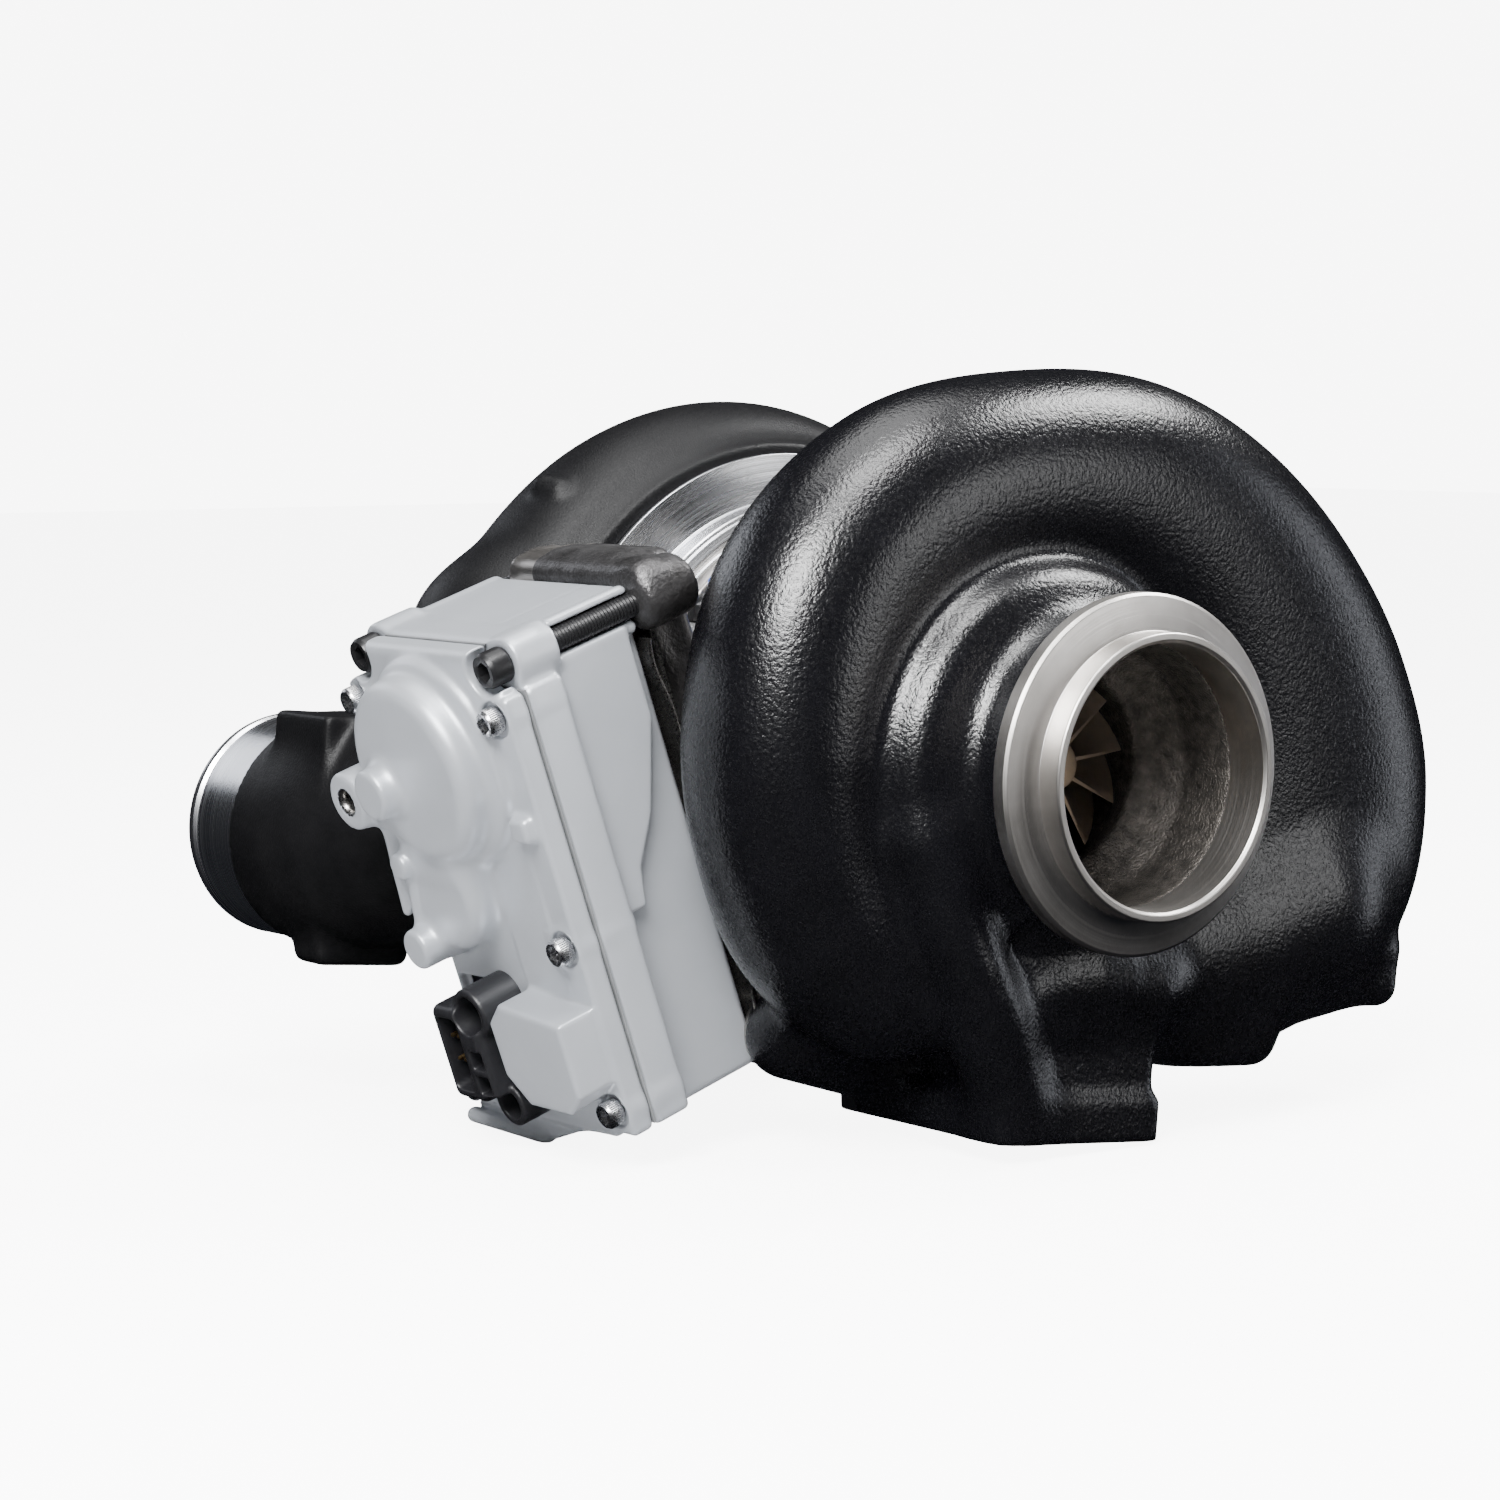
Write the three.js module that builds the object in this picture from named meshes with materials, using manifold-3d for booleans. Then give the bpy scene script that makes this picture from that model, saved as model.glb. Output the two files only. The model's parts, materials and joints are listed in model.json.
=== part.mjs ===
// Turbocharger with a sliding nozzle ring and an electric actuator, in millimetres, +Z up.
//
// The part stands on its turbine inlet flange, whose face is z = 0. The shaft runs along +Y, from
// the exhaust outlet to the air inlet, straight above the origin. Everything is built in the core
// frame, whose origin is on the shaft at the face of the outlet flange: x to the right seen from
// the outlet, y along the shaft, which is called the station, and z up. The actuator has a frame
// of its own, turned about the shaft: `out` is the distance from the shaft towards the actuator's
// cover, and `down` runs along the actuator's long side.
import * as THREE from 'three';
import { mergeVertices } from 'three/addons/utils/BufferGeometryUtils.js';
import Module from 'manifold-3d';

const wasm = await Module();
wasm.setup();

// ---------------------------------------------------------------- driving dimensions

const GAP = 0.3; // between pieces that touch
const DEG = Math.PI / 180;
const SHAFT_HEIGHT = 117; // shaft above the inlet flange's face
const WEB_STATION = 76; // middle of the inlet flange and of the web between its two ports

// turbine side, by station
const OUTLET = {
  spigotEnd: -10.6, spigotRadius: 43.5, rimRadius: 55, rimThickness: 6, neckRadius: 45, bore: 40,
};
const SHROUD = { exducerRadius: 30.8, inducerRadius: 36.3, start: 40, end: 64 };
const NOZZLE = { front: 65, back: 77, inner: 38.4, outer: 60, vaneLength: 13.5, vanes: 12, travel: 11 };
const VOLUTE = { station: 70, innerRadius: 52, halfDepth: 31.5, wall: 6, from: -62, to: 250 };
const FOOT = { x0: -14.4, x1: 49.3, y0: 33.4, y1: 119.4, height: 24, wall: 9, boltRadius: 4.2 };
const TURBINE_FLANGE = { start: 104, face: 109, radius: 70, pilot: 60.7 };
const CLAMP = { y0: 102, y1: 116.6, lip: 66.8, inner: 70.4, outer: 74, angle: 118, gapWidth: 12 };

// bearing housing and shaft
const BEARING = { start: 109.3, end: 162.2, radius: 61.5, bore: 9.6, coreRadius: 17, flange: 72.4 };
const SHAFT_RADIUS = 5;
const JOURNALS = [102, 144]; // stations where the two floating bearings start
const PLATE_BOLTS = { radius: 67.2, seat: 154.7, angles: [145, 62, -15, -62] };
const SENSOR = { angle: 142, station: 134 };
const JOURNAL_LENGTH = 11;

// compressor side
const BACKPLATE = {
  start: 162.5, stepRadius: 79, rimRadius: 94.2, rimBack: 176.8, rimFront: 178.6,
  face: 181, pilot: 87.8, bore: 26,
};
const COMPRESSOR = { back: 182.6, tipRadius: 43, inletRadius: 30, length: 38, blades: 6 };
const SCROLL = { station: 209, innerRadius: 58, halfDepth: 29.8, from: -150, to: 182, wall: 4.5 };
const AIR_INLET = { radius: 51, bore: 44, end: 276 };
const DISCHARGE = { x: -118.9, z: -43.8, end: 301.3, beadRadius: 38, hoseRadius: 36.4, bore: 32.5 };

// actuator frame and gear train
const ACTUATOR_TURN = 24.5 * DEG;
const DRIVE_STATION = 139; // all gear axes lie in this plane across the shaft
const PAD_FACE = 84; // the bearing housing's face towards the actuator
const BODY = { back: 92, front: 141, y0: 105, y1: 173, top: -92, bottom: 68, wall: 4 };
const LID = { seat: 142.3, flange: 150, dome: 164, domeCeiling: 160 };
const SECTOR = { teeth: 32, module: 1.25, out0: 66, out1: 75 };
const OUTPUT_PINION = { teeth: 13, module: 1.25 };
const OUTPUT_GEAR = { teeth: 36, module: 1.3, out0: 146.6, out1: 151 };
const IDLER_PINION = { teeth: 12, module: 1.3 };
const IDLER_GEAR = { teeth: 42, module: 1.1, out0: 142.6, out1: 145.8 };
const MOTOR_PINION = { teeth: 10, module: 1.1 };
const LEVER = 28; // yoke pin to cross shaft axis
const ROD_OUT = 46; // push rods, each side of the shaft
const centreDistance = (one, two) => ((one.teeth + two.teeth) * one.module) / 2;
const OUTPUT_DOWN = -56;
const CROSS_DOWN = OUTPUT_DOWN + centreDistance(SECTOR, OUTPUT_PINION);
const IDLER_DOWN = OUTPUT_DOWN + centreDistance(OUTPUT_GEAR, IDLER_PINION);
const MOTOR_DOWN = IDLER_DOWN + centreDistance(IDLER_GEAR, MOTOR_PINION);
const LEVER_SWING = Math.asin(NOZZLE.travel / 2 / LEVER); // half of the yoke's travel
const TOP_SCREWS = [[102.5, -86], [172, -87]]; // station, down: long screws from the cover's side
const LOW_SCREWS = [[118.5, 54], [159, 54]]; // short screws inside the body
const LID_SCREWS = [[101.5, -71.5], [178, -73.5], [101.5, 3], [178, 6], [101, 57], [178, 60]];
// the broad rim on the side towards the turbine, which the cover shares
const RIM = { y0: 94.5, y1: 110, top: -78, bottom: 64, depth: 13.5 };

// ---------------------------------------------------------------- geometry helpers

/** A closed three.js geometry as a solid whose faces point out. */
function solid(geometry) {
  const bare = new THREE.BufferGeometry();
  bare.setAttribute('position', geometry.getAttribute('position').clone());
  if (geometry.index) bare.setIndex(geometry.index.clone());
  const merged = mergeVertices(bare, 1e-3);
  const xyz = merged.getAttribute('position').array;
  const index = merged.index.array;
  const kept = [];
  let volume = 0;
  const [a, b, c] = [new THREE.Vector3(), new THREE.Vector3(), new THREE.Vector3()];
  for (let i = 0; i < index.length; i += 3) {
    const [p, q, r] = [index[i], index[i + 1], index[i + 2]];
    if (p === q || q === r || r === p) continue;
    kept.push(p, q, r);
    a.fromArray(xyz, 3 * p);
    b.fromArray(xyz, 3 * q);
    c.fromArray(xyz, 3 * r);
    volume += a.dot(b.cross(c));
  }
  if (volume < 0) kept.reverse();
  return new wasm.Manifold(new wasm.Mesh({
    numProp: 3,
    vertProperties: Float32Array.from(xyz),
    triVerts: Uint32Array.from(kept),
  }));
}

const asSolid = (piece) => (piece.isBufferGeometry ? solid(piece) : piece);
const join = (...pieces) => pieces.map(asSolid).reduce((whole, piece) => whole.add(piece));
const cut = (body, ...tools) => (
  tools.map(asSolid).reduce((whole, tool) => whole.subtract(tool), asSolid(body))
);
const common = (one, two) => asSolid(one).intersect(asSolid(two));

/** A solid as a three.js geometry with flat faces. */
function geometryOf(piece) {
  const mesh = asSolid(piece).getMesh();
  const geometry = new THREE.BufferGeometry();
  geometry.setAttribute('position', new THREE.BufferAttribute(new Float32Array(mesh.vertProperties), 3));
  geometry.setIndex(new THREE.BufferAttribute(new Uint32Array(mesh.triVerts), 1));
  return geometry;
}

/** A solid turned round the shaft from a closed profile of [radius, station] points. */
function revolve(profile, segments = 24) {
  const points = profile.map(([radius, station]) => new THREE.Vector2(radius, station));
  const onAxis = profile[0][0] === 0 && profile[profile.length - 1][0] === 0;
  if (!onAxis) points.push(points[0].clone());
  return new THREE.LatheGeometry(points, segments);
}

const ring = (inner, outer, y0, y1, segments = 24) => (
  revolve(inner > 0
    ? [[inner, y0], [outer, y0], [outer, y1], [inner, y1]]
    : [[0, y0], [outer, y0], [outer, y1], [0, y1]], segments)
);

const block = (x0, x1, y0, y1, z0, z1) => (
  new THREE.BoxGeometry(x1 - x0, y1 - y0, z1 - z0).translate((x0 + x1) / 2, (y0 + y1) / 2, (z0 + z1) / 2)
);

/** A cylinder between two points. */
function rod(radius, from, to, segments = 10, endRadius = radius) {
  const [start, end] = [new THREE.Vector3(...from), new THREE.Vector3(...to)];
  const along = end.clone().sub(start);
  const direction = along.clone().normalize();
  const turn = new THREE.Quaternion().setFromUnitVectors(new THREE.Vector3(0, 1, 0), direction);
  return new THREE.CylinderGeometry(endRadius, radius, along.length(), segments)
    .applyQuaternion(turn)
    .translate(...start.add(end).multiplyScalar(0.5).toArray());
}

/** Moves each point of a geometry to map(x, y, z). */
function bend(geometry, map) {
  const place = geometry.getAttribute('position');
  for (let i = 0; i < place.count; i += 1) {
    place.setXYZ(i, ...map(place.getX(i), place.getY(i), place.getZ(i)));
  }
  return geometry;
}

/** Smooth value at t from a list of [t, value] pairs. */
function eased(table, t) {
  const last = table.length - 1;
  if (t <= table[0][0]) return table[0][1];
  if (t >= table[last][0]) return table[last][1];
  const i = table.findIndex(([knot]) => knot > t);
  const [[t0, v0], [t1, v1]] = [table[i - 1], table[i]];
  const slope = (k) => {
    const [before, after] = [table[Math.max(k - 1, 0)], table[Math.min(k + 1, last)]];
    return (after[1] - before[1]) / (after[0] - before[0]);
  };
  const [h, s] = [t1 - t0, (t - t0) / (t1 - t0)];
  return (
    v0 * (1 + 2 * s) * (1 - s) ** 2 + slope(i - 1) * h * s * (1 - s) ** 2
    + v1 * s * s * (3 - 2 * s) + slope(i) * h * s * s * (s - 1)
  );
}

/** A point of a disc pushed towards a rounded square: power 2 keeps the disc, more makes it boxy. */
function squared(u, v, power) {
  const radius = Math.hypot(u, v);
  if (radius < 1e-9) return [0, 0];
  const [cosine, sine] = [Math.abs(u) / radius, Math.abs(v) / radius];
  const reach = (cosine ** power + sine ** power) ** (-1 / power);
  return [u * reach, v * reach];
}

/** A closed tube through stops along a path in the plane across the shaft. */
function duct(stops, around = 8, along = 5) {
  const table = (key) => stops.map((stop) => [stop.t, stop[key]]);
  const value = (key, t) => eased(table(key), t);
  const tube = new THREE.CylinderGeometry(1, 1, 1, around, along);
  return bend(tube, (u, height, v) => {
    const t = height + 0.5;
    const step = 1e-3;
    const tangent = new THREE.Vector2(
      value('x', t + step) - value('x', t - step),
      value('z', t + step) - value('z', t - step),
    ).normalize();
    const [side, deep] = squared(u, v, value('power', t));
    const across = side * value('half', t);
    return [
      value('x', t) - tangent.y * across,
      value('y', t) + deep * value('depth', t),
      value('z', t) + tangent.x * across,
    ];
  });
}

/** A snail's passage round the shaft: section(angle) gives its middle, half width and half depth. */
function snail(from, to, section, around = 12, along = 28) {
  const tube = new THREE.CylinderGeometry(1, 1, 1, around, along);
  return bend(tube, (u, height, v) => {
    const angle = (from + (to - from) * (height + 0.5)) * DEG;
    const { radius, station, half, depth, power } = section(angle / DEG);
    const [side, deep] = squared(u, v, power);
    const reach = radius + side * half;
    return [reach * Math.cos(angle), station + deep * depth, reach * Math.sin(angle)];
  });
}

/** A round bar standing out from the shaft at an angle, in degrees from +X towards +Z. */
const spoke = (radius, angle, station, r0, r1, segments = 12) => (
  rod(radius, [r0, station, 0], [r1, station, 0], segments).rotateY(-angle * DEG)
);

/** A round bar along the shaft's direction, at a radius and an angle from it. */
const axial = (radius, reach, angle, y0, y1, segments = 12) => (
  rod(radius, [reach, y0, 0], [reach, y1, 0], segments).rotateY(-angle * DEG)
);

// the actuator's frame: out is away from the shaft, down is along the actuator
const slab = (out0, out1, y0, y1, down0, down1) => block(-out1, -out0, y0, y1, -down1, -down0);
const post = (radius, y, down, out0, out1, segments = 10, endRadius = radius) => (
  rod(radius, [-out0, y, -down], [-out1, y, -down], segments, endRadius)
);
const tilted = (geometry) => geometry.rotateY(-ACTUATOR_TURN);

/** The outline of a spur gear, with one tooth centred on the direction `phase`, in radians. */
function gearOutline({ teeth, module: size }, phase, playInPitch = 0.1) {
  const pitchRadius = (teeth * size) / 2;
  const step = (2 * Math.PI) / teeth;
  const flank = [
    [pitchRadius - 1.3 * size, 0.3],
    [pitchRadius + 0.85 * size, 0.15 - playInPitch / 2],
  ];
  const points = [];
  for (let tooth = 0; tooth < teeth; tooth += 1) {
    const middle = phase + tooth * step;
    const place = ([radius, half], side) => new THREE.Vector2(
      radius * Math.cos(middle + side * half * step),
      radius * Math.sin(middle + side * half * step),
    );
    flank.forEach((corner) => points.push(place(corner, -1)));
    [...flank].reverse().forEach((corner) => points.push(place(corner, 1)));
  }
  return new THREE.Shape(points);
}

/** Turns a flat outline's extrusion to face along `out`, with its x along +Y and its y up. */
const facing = (geometry) => geometry.applyMatrix4(
  new THREE.Matrix4().set(0, 0, -1, 0, 1, 0, 0, 0, 0, 1, 0, 0, 0, 0, 0, 1),
);

/** A gear on an axis along `out`; angle 0 points along +Y and 90 degrees points up. */
function gear(spec, down, out0, out1, phase, boreRadius = 0) {
  const outline = gearOutline(spec, phase);
  if (boreRadius > 0) {
    outline.holes.push(new THREE.Path().absarc(0, 0, boreRadius, 0, 2 * Math.PI, true));
  }
  const options = { depth: out1 - out0, bevelEnabled: false, curveSegments: 8 };
  return facing(new THREE.ExtrudeGeometry(outline, options))
    .translate(-out0, DRIVE_STATION, -down);
}

// phases that put a tooth of one gear in a gap of its neighbour: neighbours lie straight down
const DOWNWARD = -Math.PI / 2;
const toothTowards = (direction) => direction;
const gapTowards = (direction, { teeth }) => direction + Math.PI / teeth;

// ---------------------------------------------------------------- materials

const paint = (color, roughness, metalness) => (
  new THREE.MeshStandardMaterial({ color, roughness, metalness })
);
const MATERIAL = {
  blackCasting: paint(0x0b0c0f, 0.35, 0.2),
  satinBlack: paint(0x141517, 0.55, 0.1),
  bareIron: paint(0x8b8781, 0.4, 0.9),
  darkCasting: paint(0x3a3733, 0.6, 0.6),
  machinedAluminium: paint(0xcfd0d2, 0.28, 1),
  silverPaint: paint(0xa9adb3, 0.42, 0.5),
  steel: paint(0xb4b4b2, 0.3, 1),
  blackSteel: paint(0x161616, 0.4, 0.8),
  wheelAlloy: paint(0x9a8a72, 0.45, 0.8),
  bronze: paint(0xb08d57, 0.35, 0.9),
  plastic: paint(0x101113, 0.5, 0),
  bluePlastic: paint(0x1c3f9a, 0.4, 0),
  rubber: paint(0x1a1a1a, 0.8, 0),
  copper: paint(0xb36a3a, 0.4, 0.8),
  board: paint(0x1e5a34, 0.6, 0),
};

// ---------------------------------------------------------------- turbine housing

// outer radius of the volute by angle: it grows backwards round the shaft from the lower left
const VOLUTE_RIM = [
  [-62, 105], [-51, 122], [-40, 146], [-32, 158], [-19, 184], [0, 188], [14, 176], [28, 162],
  [45, 148], [65, 135], [90, 122],
  [121, 120], [150, 119], [175, 114], [198, 111], [222, 110], [250, 100],
];

function voluteSection(inset) {
  return (angle) => {
    const rim = eased(VOLUTE_RIM, angle) - inset;
    const heel = VOLUTE.innerRadius + inset;
    return {
      radius: (rim + heel) / 2,
      half: (rim - heel) / 2,
      station: VOLUTE.station,
      depth: VOLUTE.halfDepth - inset,
      power: 2.15,
    };
  };
}

// middle line and half sizes of the passage from the inlet flange to the volute
function inletDuct(inset) {
  const flange = {
    x: (FOOT.x0 + FOOT.x1) / 2,
    y: WEB_STATION,
    half: (FOOT.x1 - FOOT.x0) / 2 - inset,
    depth: (FOOT.y1 - FOOT.y0) / 2 - inset,
  };
  const stop = (t, x, z, half, depth, power, y = VOLUTE.station) => (
    { t, x, y, z, half: half - inset, depth: depth - inset, power }
  );
  return duct([
    { t: 0, z: -SHAFT_HEIGHT + (inset ? -1 : 2), power: 7, ...flange },
    { t: 0.2, z: -100, power: 5, ...flange },
    stop(0.42, 30, -84, 27, 30, 3.2, 71),
    stop(0.8, 88, -62, 30, 34, 2.4),
    stop(1, 120, -52, 34, 33, 2.2),
  ]);
}

const OUTLET_RING_END = OUTLET.rimThickness + 4;

/** The machined ring at the exhaust outlet: a spigot, a conical clamp rim and a locating hole. */
function outletFlange() {
  const { spigotEnd, spigotRadius, rimRadius, rimThickness, neckRadius, bore } = OUTLET;
  const flange = revolve([
    [bore, spigotEnd], [spigotRadius, spigotEnd], [spigotRadius, -2], [rimRadius, 0],
    [rimRadius, rimThickness - 1], [neckRadius + 1.5, OUTLET_RING_END], [bore, OUTLET_RING_END],
  ]);
  return cut(flange, rod(1.6, [8, -1, -49.3], [8, 4, -49.3], 8));
}

function turbineHousing() {
  const { neckRadius, bore } = OUTLET;
  const start = OUTLET_RING_END + GAP;
  const core = revolve([
    [0, start], [neckRadius + 1.5, start], [59, 23], [69, 40], [69, 88], [64.5, 98], [64.5, TURBINE_FLANGE.start],
    [TURBINE_FLANGE.radius, TURBINE_FLANGE.start], [TURBINE_FLANGE.radius, TURBINE_FLANGE.face],
    [0, TURBINE_FLANGE.face],
  ]);
  const foot = block(FOOT.x0, FOOT.x1, FOOT.y0, FOOT.y1, -SHAFT_HEIGHT, FOOT.height - SHAFT_HEIGHT);
  const lugs = [
    block(126, 174, 47, 72, -83, -56),
    block(76, 114, 42, 78, -97, -64),
    block(60, 96, 70, 100, -40, 10),
  ];
  const volute = snail(VOLUTE.from, VOLUTE.to, voluteSection(0), 10, 20);
  const outside = join(core, volute, inletDuct(0), foot, ...lugs);

  const gasPath = revolve([
    [0, start - 1], [bore, start - 1], [bore, 22], [SHROUD.exducerRadius, SHROUD.start],
    [SHROUD.exducerRadius, 52], [SHROUD.inducerRadius, SHROUD.end], [SHROUD.inducerRadius, NOZZLE.front],
    [78, NOZZLE.front], [78, NOZZLE.back],
    [TURBINE_FLANGE.pilot, NOZZLE.back], [TURBINE_FLANGE.pilot, TURBINE_FLANGE.face + 1],
    [0, TURBINE_FLANGE.face + 1],
  ], 24);
  const web = ring(70, 300, WEB_STATION - 3, WEB_STATION + 3, 24);
  const passages = cut(
    join(snail(VOLUTE.from + 14, VOLUTE.to - 8, voluteSection(VOLUTE.wall), 6, 13), inletDuct(FOOT.wall)),
    web,
  );
  const plateSeat = ring(37, 65, NOZZLE.front - 3.3, NOZZLE.front + 0.1, 24);
  const vanePocket = ring(41, 58, 49, NOZZLE.front - 3, 24);
  const bolts = [];
  for (const x of [FOOT.x0 + 7, FOOT.x1 - 7]) {
    for (const y of [FOOT.y0 + 7, FOOT.y1 - 7]) {
      bolts.push(rod(FOOT.boltRadius, [x, y, -SHAFT_HEIGHT - 1], [x, y, -SHAFT_HEIGHT + 18], 6));
    }
  }
  return cut(outside, gasPath, passages, plateSeat, vanePocket, ...bolts);
}

// ---------------------------------------------------------------- nozzle

const vaneAngle = (index) => (index * 360) / NOZZLE.vanes + 15;

/** A vane's outline seen along the shaft: a thin lens leaning 62 degrees from the radius. */
function vane(y0, y1, index, margin = 0) {
  const [half, thick] = [8.5 + margin, 1.7 + margin];
  const lens = new THREE.Shape();
  lens.moveTo(-half, 0);
  lens.quadraticCurveTo(-half * 0.3, -2 * thick * 0.9, half, 0);
  lens.quadraticCurveTo(-half * 0.3, 2 * thick * 0.9, -half, 0);
  return new THREE.ExtrudeGeometry(lens, { depth: y1 - y0, bevelEnabled: false, curveSegments: 3 })
    .rotateX(Math.PI / 2)
    .translate(0, y1, 0)
    .rotateY(62 * DEG)
    .translate(49.5, 0, 0)
    .rotateY(vaneAngle(index) * DEG);
}

function nozzleRing() {
  const { inner, outer, back, vaneLength, vanes } = NOZZLE;
  const skirtEnd = back + 13;
  const carrier = revolve([
    [inner, back], [outer, back], [outer, skirtEnd], [outer - 2.2, skirtEnd],
    [outer - 2.2, back + 3], [inner + 2.2, back + 3], [inner + 2.2, skirtEnd], [inner, skirtEnd],
  ]);
  const list = Array.from({ length: vanes }, (_, index) => vane(back - vaneLength, back + 1, index));
  return join(carrier, ...list);
}

function shroudPlate() {
  const plate = ring(37.3, 64, NOZZLE.front - 3, NOZZLE.front - 0.1);
  const slots = Array.from(
    { length: NOZZLE.vanes },
    (_, index) => vane(NOZZLE.front - 5, NOZZLE.front + 2, index, 0.6),
  );
  return cut(plate, ...slots);
}

/** One push rod: it runs from the ring to a slotted block that the yoke's pin moves. */
function pushRod(side) {
  const out = side * ROD_OUT;
  const pinY = DRIVE_STATION + LEVER * Math.sin(LEVER_SWING);
  const start = NOZZLE.back + 3 + GAP;
  const shank = rod(4, [-out, start, 0], [-out, pinY - 8, 0], 16);
  const head = block(-out - 3.5, -out + 3.5, pinY - 9, pinY + 9, -9, 9);
  const slot = block(-out - 5, -out + 5, pinY - 3.6, pinY + 3.6, -6, 6);
  return tilted(geometryOf(cut(join(shank, head), slot)));
}

// ---------------------------------------------------------------- rotor

/** A wheel blade: a box bent so that u runs along the flow and v from the hub to the tip. */
function blade({ hub, tip, wrap, thickness }, turn, steps = 3) {
  const slabBox = new THREE.BoxGeometry(1, 1, 1, steps, 1, 1);
  return bend(slabBox, (x, y, z) => {
    const [u, v] = [x + 0.5, y + 0.5];
    const [hubR, hubY] = hub(u);
    const [tipR, tipY] = tip(u);
    const [radius, station] = [hubR + (tipR - hubR) * v, hubY + (tipY - hubY) * v];
    const angle = turn + wrap(u) + (2 * z * thickness * (1.4 - 0.7 * v)) / (2 * radius);
    return [radius * Math.cos(angle), station, radius * Math.sin(angle)];
  });
}

const TURBINE_WHEEL = { nose: 38, exducer: 43, back: 77, radius: 35, blades: 11 };

function turbineWheel() {
  const { nose, back, radius } = TURBINE_WHEEL;
  const hubAt = (u) => [7.6 + 26.2 * u ** 3.2, nose + 5 + (back - nose - 6.5) * u ** 0.9];
  const hubProfile = [[0, nose], [6.4, nose], [7.8, nose + 1.2]];
  for (let step = 0; step <= 4; step += 1) hubProfile.push(hubAt(step / 4));
  const shaftEnd = COMPRESSOR.back + COMPRESSOR.length + 13;
  const shaftProfile = [
    [radius - 0.6, back], [11.5, back + 0.6], [8.7, back + 3.2], [8.7, 99], [SHAFT_RADIUS, 100],
    [SHAFT_RADIUS, 156.2], [4, 156.6], [4, shaftEnd], [0, shaftEnd],
  ];
  const body = revolve([...hubProfile, ...shaftProfile], 16);
  const spec = {
    hub: (u) => {
      const [r, y] = hubAt(u);
      return [r - 1.2, y];
    },
    tip: (u) => [
      u < 0.55 ? 30 : 30 + 5 * ((u - 0.55) / 0.45) ** 1.6,
      TURBINE_WHEEL.exducer + (66 - TURBINE_WHEEL.exducer) * u,
    ],
    wrap: (u) => -0.95 * (1 - u) ** 1.7,
    thickness: 0.75,
  };
  const blades = [];
  for (let i = 0; i < TURBINE_WHEEL.blades; i += 1) {
    blades.push(blade(spec, (i * 2 * Math.PI) / TURBINE_WHEEL.blades));
  }
  return join(body, ...blades);
}

/** The edge that the compressor's blades sweep: u runs from the rim to the inlet. */
function compressorTip(u, clearance = 0) {
  const { back, tipRadius, inletRadius, length } = COMPRESSOR;
  return [
    tipRadius - (tipRadius - inletRadius) * Math.min(1, 1.5 * u) ** 0.8 + clearance,
    back + 7 + (length - 9) * u + clearance * (1 - u),
  ];
}

function compressorWheel() {
  const { back, tipRadius, length, blades: count } = COMPRESSOR;
  const hubAt = (u) => [10 + (tipRadius - 10) * (1 - u) ** 2.4, back + 2.2 + (length - 2.2) * u ** 1.25];
  const profile = [[4.4, back - 1.4], [12, back - 1.4], [14, back], [tipRadius, back]];
  for (let step = 0; step <= 4; step += 1) profile.push(hubAt(step / 4));
  profile.push([4.4, back + length]);
  const body = revolve(profile, 18);
  const full = {
    hub: (u) => {
      const [r, y] = hubAt(u * 0.93);
      return [r - 0.9, y - 0.4];
    },
    tip: (u) => compressorTip(u),
    wrap: (u) => 1.05 * u ** 1.5 - 0.35 * (1 - u) ** 2,
    thickness: 0.55,
  };
  const splitter = {
    ...full,
    hub: (u) => full.hub(u * 0.68),
    tip: (u) => full.tip(u * 0.68),
    wrap: (u) => full.wrap(u * 0.68),
  };
  const list = [];
  for (let i = 0; i < count; i += 1) {
    const turn = (i * 2 * Math.PI) / count;
    list.push(blade(full, turn), blade(splitter, turn + Math.PI / count));
  }
  return join(body, ...list);
}

function rotorNut() {
  const start = COMPRESSOR.back + COMPRESSOR.length + GAP;
  const hexagon = new THREE.CylinderGeometry(8, 8, 8, 6).translate(0, start + 6, 0);
  const washer = ring(0, 8.6, start, start + 2.2, 16);
  return cut(join(hexagon, washer), ring(0, 4.4, start - 1, start + 11, 16));
}

// ---------------------------------------------------------------- bearing housing

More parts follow.
